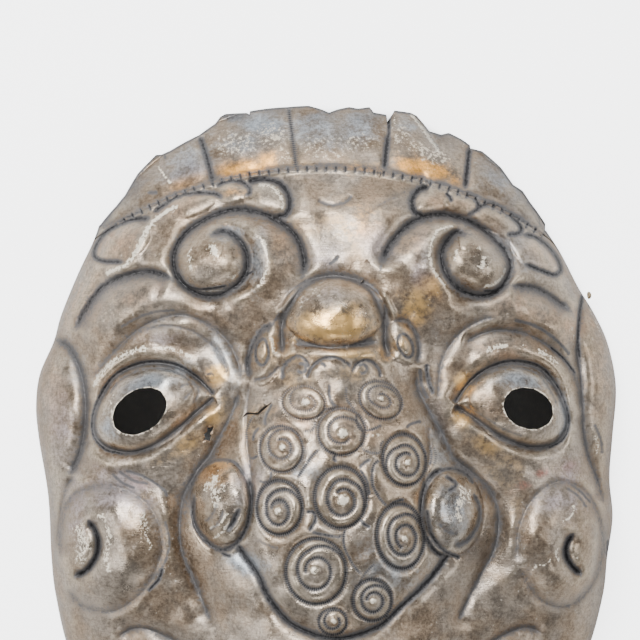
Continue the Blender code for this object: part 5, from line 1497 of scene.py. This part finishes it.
@dataclass
class SilverSheet:
    """The one sheet of silver that is the whole mask."""

    relief: Relief
    thickness: float = 1.1
    net_cells: int = 800
    paint_weight: float = 0.6
    front_triangles: int = 176000
    back_triangles: int = 9000
    net_turn: float = 45.0
    back_softening: int = 4
    rim_snap: float = 0.4
    top: float = CAD_BOX[1][2] / MM
    tears: tuple = (
        ((-54.9, 10.4), (-53.6, 10.9), (-51.9, 10.3), (-51.3, 12.4), (-51.9, 13.6), (-50.6, 15.2), (-50.4, 16.8),
         (-51.9, 16.1), (-53.0, 16.5), (-53.2, 14.4), (-54.6, 13.2), (-54.0, 11.8)),
        ((-37.6, 20.7), (-35.0, 22.3), (-32.6, 22.3), (-30.4, 22.0), (-27.4, 24.7), (-24.6, 27.2), (-27.8, 25.7),
         (-30.6, 22.9), (-33.2, 22.9), (-35.4, 23.0)),
    )

    def front(self) -> bpy.types.Mesh:
        """The open front surface, fine where it is worked and plain elsewhere.

        Returns:
            A triangle mesh in millimetres.
        """
        mesh = bpy.data.meshes.new("net")
        bm = bmesh.new()
        bmesh.ops.create_grid(bm, x_segments=self.net_cells, y_segments=self.net_cells, size=1.0)
        bm.to_mesh(mesh)
        bm.free()
        net = vertex_array(mesh)
        u, v = net[:, 0], net[:, 1]
        disc_x, disc_y = u * np.sqrt(1 - v * v / 2), v * np.sqrt(1 - u * u / 2)
        theta = np.arctan2(disc_y, disc_x) + math.radians(self.net_turn)
        out = np.clip(np.hypot(disc_x, disc_y), 0, 1)
        out = (1.2 * out - 0.2 * out**6) * self.relief.radius(theta, torn=True)
        x, y = out * np.cos(theta), out * np.sin(theta)
        ground = self.relief.survey(x, y)
        painted = self.paint_weight * (ground.dark + ground.bright)
        place_vertices(mesh, np.column_stack([x, y, ground.height + painted]))
        thin = modified(mesh, "DECIMATE", ratio=self.front_triangles / (2 * self.net_cells**2))
        points = vertex_array(thin)
        height = self.relief.survey(points[:, 0], points[:, 1]).height
        points[:, 2] = np.clip(height, 0.0, self.top - 0.05)
        place_vertices(thin, points)
        return thin

    def back_of(self, front: bpy.types.Mesh) -> tuple[bpy.types.Mesh, np.ndarray]:
        """The open back surface, a sheet's thickness under a thinned front.

        Args:
            front: The front surface.

        Returns:
            The back's mesh, still facing up, and its vertices' places.
        """
        back = modified(front, "DECIMATE", ratio=self.back_triangles / len(front.polygons))
        points = vertex_array(back)
        normals = normal_array(back)
        edges = np.empty(len(back.edges) * 2, np.int32)
        back.edges.foreach_get("vertices", edges)
        a, b = edges.reshape(-1, 2).T
        for _ in range(self.back_softening):
            total = normals.copy()
            np.add.at(total, a, normals[b])
            np.add.at(total, b, normals[a])
            normals = total / np.linalg.norm(total, axis=1)[:, None]
        rim = np.zeros(len(points), bool)
        rim[border_loop(back)] = True
        rim &= points[:, 2] < self.rim_snap
        points[rim, 2] = 0.0
        normals[rim, 2] = 0.0
        normals /= np.linalg.norm(normals, axis=1)[:, None]
        inner = points - normals * self.thickness
        inner[:, 2] = np.maximum(inner[:, 2], 0.0)
        return back, inner

    def shell(self) -> bpy.types.Mesh:
        """The closed sheet: its front, its back and the edge between them.

        Returns:
            A mesh in millimetres, with the front on the first material and the back on the second.
        """
        front = self.front()
        points = vertex_array(front)
        loop = border_loop(front)
        low = loop[points[loop, 2] < self.rim_snap]
        points[low, 2] = 0.0
        place_vertices(front, points)
        back, back_points = self.back_of(front)
        back_loop = border_loop(back) + len(points)
        places = np.vstack([points, back_points])
        faces = [tuple(p.vertices) for p in front.polygons]
        faces += [tuple(i + len(points) for i in reversed(p.vertices)) for p in back.polygons]
        kinds = [Side.FRONT.value] * len(front.polygons) + [Side.BACK.value] * len(back.polygons)
        edge = self.edge_faces(places, loop, back_loop)
        mesh = bpy.data.meshes.new("sheet")
        mesh.from_pydata(places.tolist(), [], faces + edge)
        mesh.polygons.foreach_set("material_index", kinds + [Side.FRONT.value] * len(edge))
        mesh.update()
        return mesh

    @staticmethod
    def edge_faces(places: np.ndarray, outer: np.ndarray, inner: np.ndarray) -> list[tuple]:
        """Triangles that join two border loops, both in order of direction.

        Args:
            places: All the vertices.
            outer: The front's loop.
            inner: The back's loop.

        Returns:
            The triangles.
        """
        around = np.arctan2(places[:, 1], places[:, 0])
        turn = 2 * math.pi
        a = np.append(around[outer], around[outer[0]] + turn)
        b = np.append(around[inner], around[inner[0]] + turn)
        faces = []
        i = j = 0
        while i < len(outer) or j < len(inner):
            here, there = int(outer[i % len(outer)]), int(inner[j % len(inner)])
            if j == len(inner) or (i < len(outer) and a[i + 1] <= b[j + 1]):
                i += 1
                faces.append((here, there, int(outer[i % len(outer)])))
            else:
                j += 1
                faces.append((here, there, int(inner[j % len(inner)])))
        return faces

    def holes(self, silver: bpy.types.Material) -> list[bpy.types.Object]:
        """Upright plugs for the pierced eyes and the tears.

        Args:
            silver: The material that the cut edges take.

        Returns:
            One closed plug for each.
        """
        rings = []
        for x, y, half_x, half_y, turn in self.relief.eye_holes:
            angle = np.linspace(0, 2 * np.pi, 96, endpoint=False)
            ragged = 1 + 0.006 * np.sin(7 * angle + x) + 0.008 * np.sin(13 * angle + y)
            u, v = np.cos(angle) * half_x * ragged, np.sin(angle) * half_y * ragged
            c, s = math.cos(math.radians(turn)), math.sin(math.radians(turn))
            rings.append(np.column_stack([x + u * c - v * s, y + u * s + v * c]))
        rings += [np.asarray(tear) for tear in self.tears]
        plugs = []
        for ring in rings:
            bm = bmesh.new()
            base = bm.faces.new([bm.verts.new((x, y, 5.0)) for x, y in ring])
            grown = bmesh.ops.extrude_face_region(bm, geom=[base])["geom"]
            top = [v for v in grown if isinstance(v, bmesh.types.BMVert)]
            bmesh.ops.translate(bm, verts=top, vec=(0, 0, 120.0))
            bmesh.ops.triangulate(bm, faces=bm.faces[:])
            bmesh.ops.recalc_face_normals(bm, faces=bm.faces[:])
            mesh = bpy.data.meshes.new("plug")
            bm.to_mesh(mesh)
            bm.free()
            mesh.materials.append(silver)
            plugs.append(new_object("plug", mesh))
        return plugs

    def build(self, silver: bpy.types.Material, inner: bpy.types.Material) -> bpy.types.Object:
        """Makes the mask's mesh.

        Args:
            silver: The material of the front and the edges.
            inner: The material of the back.

        Returns:
            The mask, in place and in metres, without its patina.
        """
        mesh = self.shell()
        mesh.materials.append(silver)
        mesh.materials.append(inner)
        for plug in self.holes(silver):
            mesh = modified(mesh, "BOOLEAN", operation="DIFFERENCE", solver="MANIFOLD", object=plug)
            bpy.data.objects.remove(plug)
        low, high = (np.asarray(v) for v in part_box("mask"))
        place_vertices(mesh, np.clip(vertex_array(mesh) * MM, low, high))
        mesh.shade_smooth()
        return new_object("silver_sheet", mesh)


@dataclass
class Dresser:
    """Writes the patina, wear, tints, painted highlights, painted reflection and painted shade of the relief onto a
    mesh's vertices.
    """

    relief: Relief
    soot_reach: float = 2.2
    ridge_reach: float = 1.3
    valley_reach: float = 6.0

    def __post_init__(self) -> None:
        """Charts the relief."""
        self.chart = ReliefChart(self.relief)
        self.hollow = self.chart.softened(self.soot_reach) - self.chart.height
        self.ridge = self.chart.height - self.chart.softened(self.ridge_reach)
        self.valley = self.chart.softened(self.valley_reach) - self.chart.height

    def dress(self, mesh: bpy.types.Mesh, beads: bool = False) -> None:
        """Stores the attributes that the silver's material reads.

        Args:
            mesh: A mesh in metres, part of the mask's face.
            beads: Whether it is the row of beads, which is rubbed only in its middle stretch.
        """
        points = vertex_array(mesh) / MM
        x, y = points[:, 0], points[:, 1]
        ground = self.relief.survey(x, y)
        inner = ease((0.985 - ground.share) / 0.03)
        inner = np.where(ground.on_crest, ease((1.0 - ground.share) / 0.01), inner)
        hollow = self.chart.read(self.hollow, x, y)
        ridge = self.chart.read(self.ridge, x, y)
        valley = self.chart.read(self.valley, x, y)
        soot = np.maximum(ground.dark, 0.62 * ease((hollow - 0.2) / 1.5) * inner)
        soot = np.maximum(soot, 0.38 * ease((valley - 0.6) / 3.0) * inner)
        shine = ease((ridge - 0.02) / 0.5) * inner
        if beads:
            soot = np.full_like(x, 0.34)
            shine = 0.9 * ease((x - 27) / 4) * ease((62 - x) / 4)
            ground.bright[:] = 0
            ground.punch_weight[:] = 0
        store(mesh, "patina", soot)
        store(mesh, "bright", ground.bright)
        store(mesh, "polish", shine)
        store(mesh, "gilt", spread(GILT, x, y))
        store(mesh, "pale_and_highlight", spread(PALE_AND_HIGHLIGHT, x, y))
        store(mesh, "gloss", spread(GLOSS, x, y))
        store(mesh, "punch_place", ground.punch_place)
        store(mesh, "punch_weight", ground.punch_weight)
        mixed, weight, bare = np.zeros((len(x), 3)), np.full(len(x), 1e-6), np.ones(len(x))
        for tint in TONES:
            share = spread(tint.patches, x, y)
            mixed += share[:, None] * np.asarray(tint.colour)
            weight += share
            bare *= 1 - share
        store(mesh, "tone", mixed / weight[:, None])
        store(mesh, "tone_share", 1 - bare)


@dataclass
class MilledBand:
    """The row of small beads along the foot of the crest."""

    relief: Relief
    bead: tuple = (3.0, 2.7, 1.1)
    seed: int = 5

    def path(self) -> bpy.types.Object:
        """The band's middle line as a mesh of edges, a bead's pitch apart.

        Returns:
            A temporary object.
        """
        first, last = self.relief.band_ends
        lead = self.relief.band_pitch
        low = math.asin((first + 3 - self.relief.band_centre[0]) / self.relief.band_radius) * self.relief.band_radius
        high = math.asin((last - 3 - self.relief.band_centre[0]) / self.relief.band_radius) * self.relief.band_radius
        place = np.arange(math.ceil(low / lead) * lead, high, lead)
        angle = place / self.relief.band_radius
        x = self.relief.band_centre[0] + np.sin(angle) * self.relief.band_radius
        y = self.relief.band_centre[1] + np.cos(angle) * self.relief.band_radius
        z = self.relief.survey(x, y).height
        step = 0.6
        slope = (self.relief.survey(x, y + step).height - self.relief.survey(x, y - step).height) / (2 * step)
        mesh = bpy.data.meshes.new("band_line")
        mesh.from_pydata(np.column_stack([x, y, z - 0.35]).tolist(), [], [])
        turned = np.column_stack([np.arctan(np.clip(slope, -1.2, 0.3)), np.zeros_like(x), -angle])
        mesh.attributes.new("turned", "FLOAT_VECTOR", "POINT").data.foreach_set("vector", turned.ravel())
        return new_object("band_line", mesh)

    def beads_tree(self, silver: bpy.types.Material) -> bpy.types.NodeTree:
        """The node tree that puts a bead on every point.

        Args:
            silver: The beads' material.

        Returns:
            The tree, with Length, Width, Height, Unevenness and Seed as its inputs.
        """
        tree = bpy.data.node_groups.new("milled_beads", "GeometryNodeTree")
        tree.interface.new_socket("Geometry", in_out="INPUT", socket_type="NodeSocketGeometry")
        for name in ("Length", "Width", "Height", "Unevenness"):
            tree.interface.new_socket(name, in_out="INPUT", socket_type="NodeSocketFloat")
        tree.interface.new_socket("Seed", in_out="INPUT", socket_type="NodeSocketInt")
        tree.interface.new_socket("Geometry", in_out="OUTPUT", socket_type="NodeSocketGeometry")
        sheet = NodeSheet(tree)
        entry, leave = sheet.add("NodeGroupInput"), sheet.add("NodeGroupOutput")
        size = sheet.add("ShaderNodeCombineXYZ")
        for axis, name in zip("XYZ", ("Length", "Width", "Height")):
            sheet.feed(size.inputs[axis], entry.outputs[name])
        cube = sheet.add("GeometryNodeMeshCube")
        sheet.feed(cube.inputs["Size"], size.outputs[0])
        round_off = sheet.add("GeometryNodeSubdivisionSurface")
        round_off.inputs["Level"].default_value = 2
        round_off.inputs["Edge Crease"].default_value = 0.45
        sheet.feed(round_off.inputs["Mesh"], cube.outputs["Mesh"])
        smooth = sheet.add("GeometryNodeSetShadeSmooth")
        sheet.feed(smooth.inputs["Geometry"], round_off.outputs["Mesh"])
        turned = sheet.add("GeometryNodeInputNamedAttribute", data_type="FLOAT_VECTOR")
        turned.inputs["Name"].default_value = "turned"
        uneven = sheet.add("FunctionNodeRandomValue", data_type="FLOAT")
        least = sheet.maths("SUBTRACT", 1.0, entry.outputs["Unevenness"])
        most = sheet.maths("ADD", 1.0, entry.outputs["Unevenness"])
        sheet.feed(uneven.inputs[2], least)
        sheet.feed(uneven.inputs[3], most)
        sheet.feed(uneven.inputs["Seed"], entry.outputs["Seed"])
        beads = sheet.add("GeometryNodeInstanceOnPoints")
        sheet.feed(beads.inputs["Points"], entry.outputs["Geometry"])
        sheet.feed(beads.inputs["Instance"], smooth.outputs["Geometry"])
        sheet.feed(beads.inputs["Rotation"], turned.outputs["Attribute"])
        sheet.feed(beads.inputs["Scale"], uneven.outputs[1])
        real = sheet.add("GeometryNodeRealizeInstances")
        sheet.feed(real.inputs["Geometry"], beads.outputs["Instances"])
        coat = sheet.add("GeometryNodeSetMaterial")
        coat.inputs["Material"].default_value = silver
        sheet.feed(coat.inputs["Geometry"], real.outputs["Geometry"])
        sheet.feed(leave.inputs["Geometry"], coat.outputs["Geometry"])
        return tree

    def build(self, silver: bpy.types.Material) -> bpy.types.Object:
        """Makes the row of beads.

        Args:
            silver: The beads' material.

        Returns:
            The beads as one mesh in metres.
        """
        line = self.path()
        modifier = line.modifiers.new("beads", "NODES")
        modifier.node_group = self.beads_tree(silver)
        values = dict(zip(("Length", "Width", "Height", "Unevenness", "Seed"), (*self.bead, 0.07, self.seed)))
        for item in modifier.node_group.interface.items_tree:
            if item.in_out == "INPUT" and item.name in values:
                modifier[item.identifier] = values[item.name]
        graph = bpy.context.evaluated_depsgraph_get()
        mesh = bpy.data.meshes.new_from_object(line.evaluated_get(graph))
        bpy.data.objects.remove(line)
        place_vertices(mesh, vertex_array(mesh) * MM)
        return new_object("milled_band", mesh)


@dataclass
class TieKnot:
    """The end of a tie thread: a small overhand knot at the right edge."""

    place: tuple = (118.3, 75.4, 7.6)
    thread: float = 0.42
    loops: tuple = ((0.62, 0.75, 0.0, 0.2), (0.55, 0.85, 0.9, -0.15), (0.66, 0.62, 1.9, 0.1))

    def build(self, thread: bpy.types.Material) -> bpy.types.Object:
        """Makes the knot.

        Args:
            thread: Its material.

        Returns:
            The knot as one mesh in metres.
        """
        curve = bpy.data.curves.new("knot_line", "CURVE")
        curve.dimensions = "3D"
        curve.bevel_depth = self.thread
        curve.bevel_resolution = 3
        for reach, tall, lean, lift in self.loops:
            spline = curve.splines.new("POLY")
            angle = np.linspace(0, 2 * np.pi, 25)[:-1]
            ring = np.column_stack([np.cos(angle) * reach, np.sin(angle) * tall * 1.5, np.sin(2 * angle) * 0.3 + lift])
            turn = np.array(Matrix.Rotation(lean, 3, "Y"))
            ring = ring @ turn.T + np.asarray(self.place)
            spline.points.add(len(ring) - 1)
            spline.points.foreach_set("co", np.column_stack([ring, np.ones(len(ring))]).ravel())
            spline.use_cyclic_u = True
        carrier = bpy.data.objects.new("knot_line", curve)
        bpy.context.scene.collection.objects.link(carrier)
        graph = bpy.context.evaluated_depsgraph_get()
        mesh = bpy.data.meshes.new_from_object(carrier.evaluated_get(graph))
        bpy.data.objects.remove(carrier)
        low, high = (np.asarray(v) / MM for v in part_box("tie_knot"))
        place_vertices(mesh, np.clip(vertex_array(mesh), low, high) * MM)
        mesh.shade_smooth()
        mesh.materials.clear()
        mesh.materials.append(thread)
        return new_object("knot_of_thread", mesh)


@dataclass
class Studio:
    """The pale floor, the soft lights and the camera that looks straight down."""

    look_at: tuple = (-0.0027, 0.06435)
    field_width: float = 0.288
    camera_height: float = 8.0
    floor: tuple = (0.86, 0.865, 0.87, 1.0)
    floor_glow: float = 4.0
    cover_reach: float = 0.30
    cover_samples: int = 16
    world: float = 0.3

    def build(self) -> None:
        """Sets the stage, the lights and the camera."""
        self.lay_floor()
        self.light("key_softbox", (-0.45, 0.78, 1.35), (0.75, 0.75), 30.0)
        self.light("north_softbox", (0.1, 1.7, 0.9), (1.6, 0.5), 12.0)
        self.light("west_softbox", (-1.6, -0.1, 0.8), (0.9, 0.6), 9.0)
        self.light("east_softbox", (1.5, 0.3, 0.8), (0.9, 0.6), 7.0)
        self.light("south_softbox", (0.1, -1.5, 1.0), (1.2, 0.5), 6.0)
        world = bpy.data.worlds.new("studio")
        world.use_nodes = True
        background = world.node_tree.nodes["Background"]
        background.inputs["Color"].default_value = (0.93, 0.96, 1.0, 1.0)
        background.inputs["Strength"].default_value = self.world
        bpy.context.scene.world = world
        camera = bpy.data.cameras.new("camera")
        camera.sensor_width = 36.0
        camera.lens = 36.0 * self.camera_height / self.field_width
        camera.clip_end = 50.0
        obj = bpy.data.objects.new("camera", camera)
        obj.location = (*self.look_at, self.camera_height)
        bpy.context.scene.collection.objects.link(obj)
        bpy.context.scene.camera = obj

    def lay_floor(self) -> None:
        """Lays the plain floor."""
        bm = bmesh.new()
        bmesh.ops.create_grid(bm, x_segments=2, y_segments=2, size=4.0)
        mesh = bpy.data.meshes.new("floor")
        bm.to_mesh(mesh)
        bm.free()
        floor = new_object("floor", mesh)
        material = bpy.data.materials.new("pale_floor")
        material.use_nodes = True
        shader = material.node_tree.nodes["Principled BSDF"]
        shader.inputs["Base Color"].default_value = self.floor
        shader.inputs["Roughness"].default_value = 0.9
        sheet = NodeSheet(material.node_tree)
        cover = sheet.add("ShaderNodeAmbientOcclusion", samples=self.cover_samples)
        cover.inputs["Distance"].default_value = self.cover_reach
        outside = sheet.ramp(cover.outputs["AO"], 0.30, 0.55)
        seen = sheet.add("ShaderNodeLightPath").outputs["Is Camera Ray"]
        glow = sheet.maths("MULTIPLY", sheet.maths("MULTIPLY", outside, seen), self.floor_glow)
        sheet.feed(shader.inputs["Emission Strength"], glow)
        shader.inputs["Emission Color"].default_value = self.floor
        mesh.materials.append(material)

    @staticmethod
    def light(name: str, place: tuple, size: tuple, power: float) -> None:
        """Hangs one softbox that faces the mask.

        Args:
            name: Its name.
            place: Where it hangs, in metres.
            size: Its width and height.
            power: Its power in watts.
        """
        lamp = bpy.data.lights.new(name, "AREA")
        lamp.shape = "RECTANGLE"
        lamp.size, lamp.size_y = size
        lamp.energy = power
        obj = bpy.data.objects.new(name, lamp)
        obj.location = place
        obj.rotation_euler = (Vector((0.0, 0.04, 0.04)) - Vector(place)).to_track_quat("-Z", "Y").to_euler()
        bpy.context.scene.collection.objects.link(obj)


def main() -> None:
    """Builds, dresses and stages the mask, and reports each piece."""
    logging.basicConfig(level=logging.INFO, format="%(name)s: %(message)s")
    clouds_group()
    scratch_group()
    silver, inner = RaisedSilver().make(), InnerSilver().make()
    relief = Relief()
    dresser = Dresser(relief)

    sheet = SilverSheet(relief).build(silver, inner)
    dresser.dress(sheet.data)
    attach(sheet, "root")
    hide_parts("mask")
    log.info("silver sheet: %d triangles", sum(len(p.vertices) - 2 for p in sheet.data.polygons))

    band = MilledBand(relief).build(silver)
    dresser.dress(band.data, beads=True)
    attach(band, "root")
    log.info("milled band: %d faces", len(band.data.polygons))

    knot = TieKnot().build(TanThread().make())
    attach(knot, "root")
    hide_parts("tie_knot")
    log.info("tie knot: %d faces", len(knot.data.polygons))

    Studio().build()


if __name__ == "__main__":
    main()
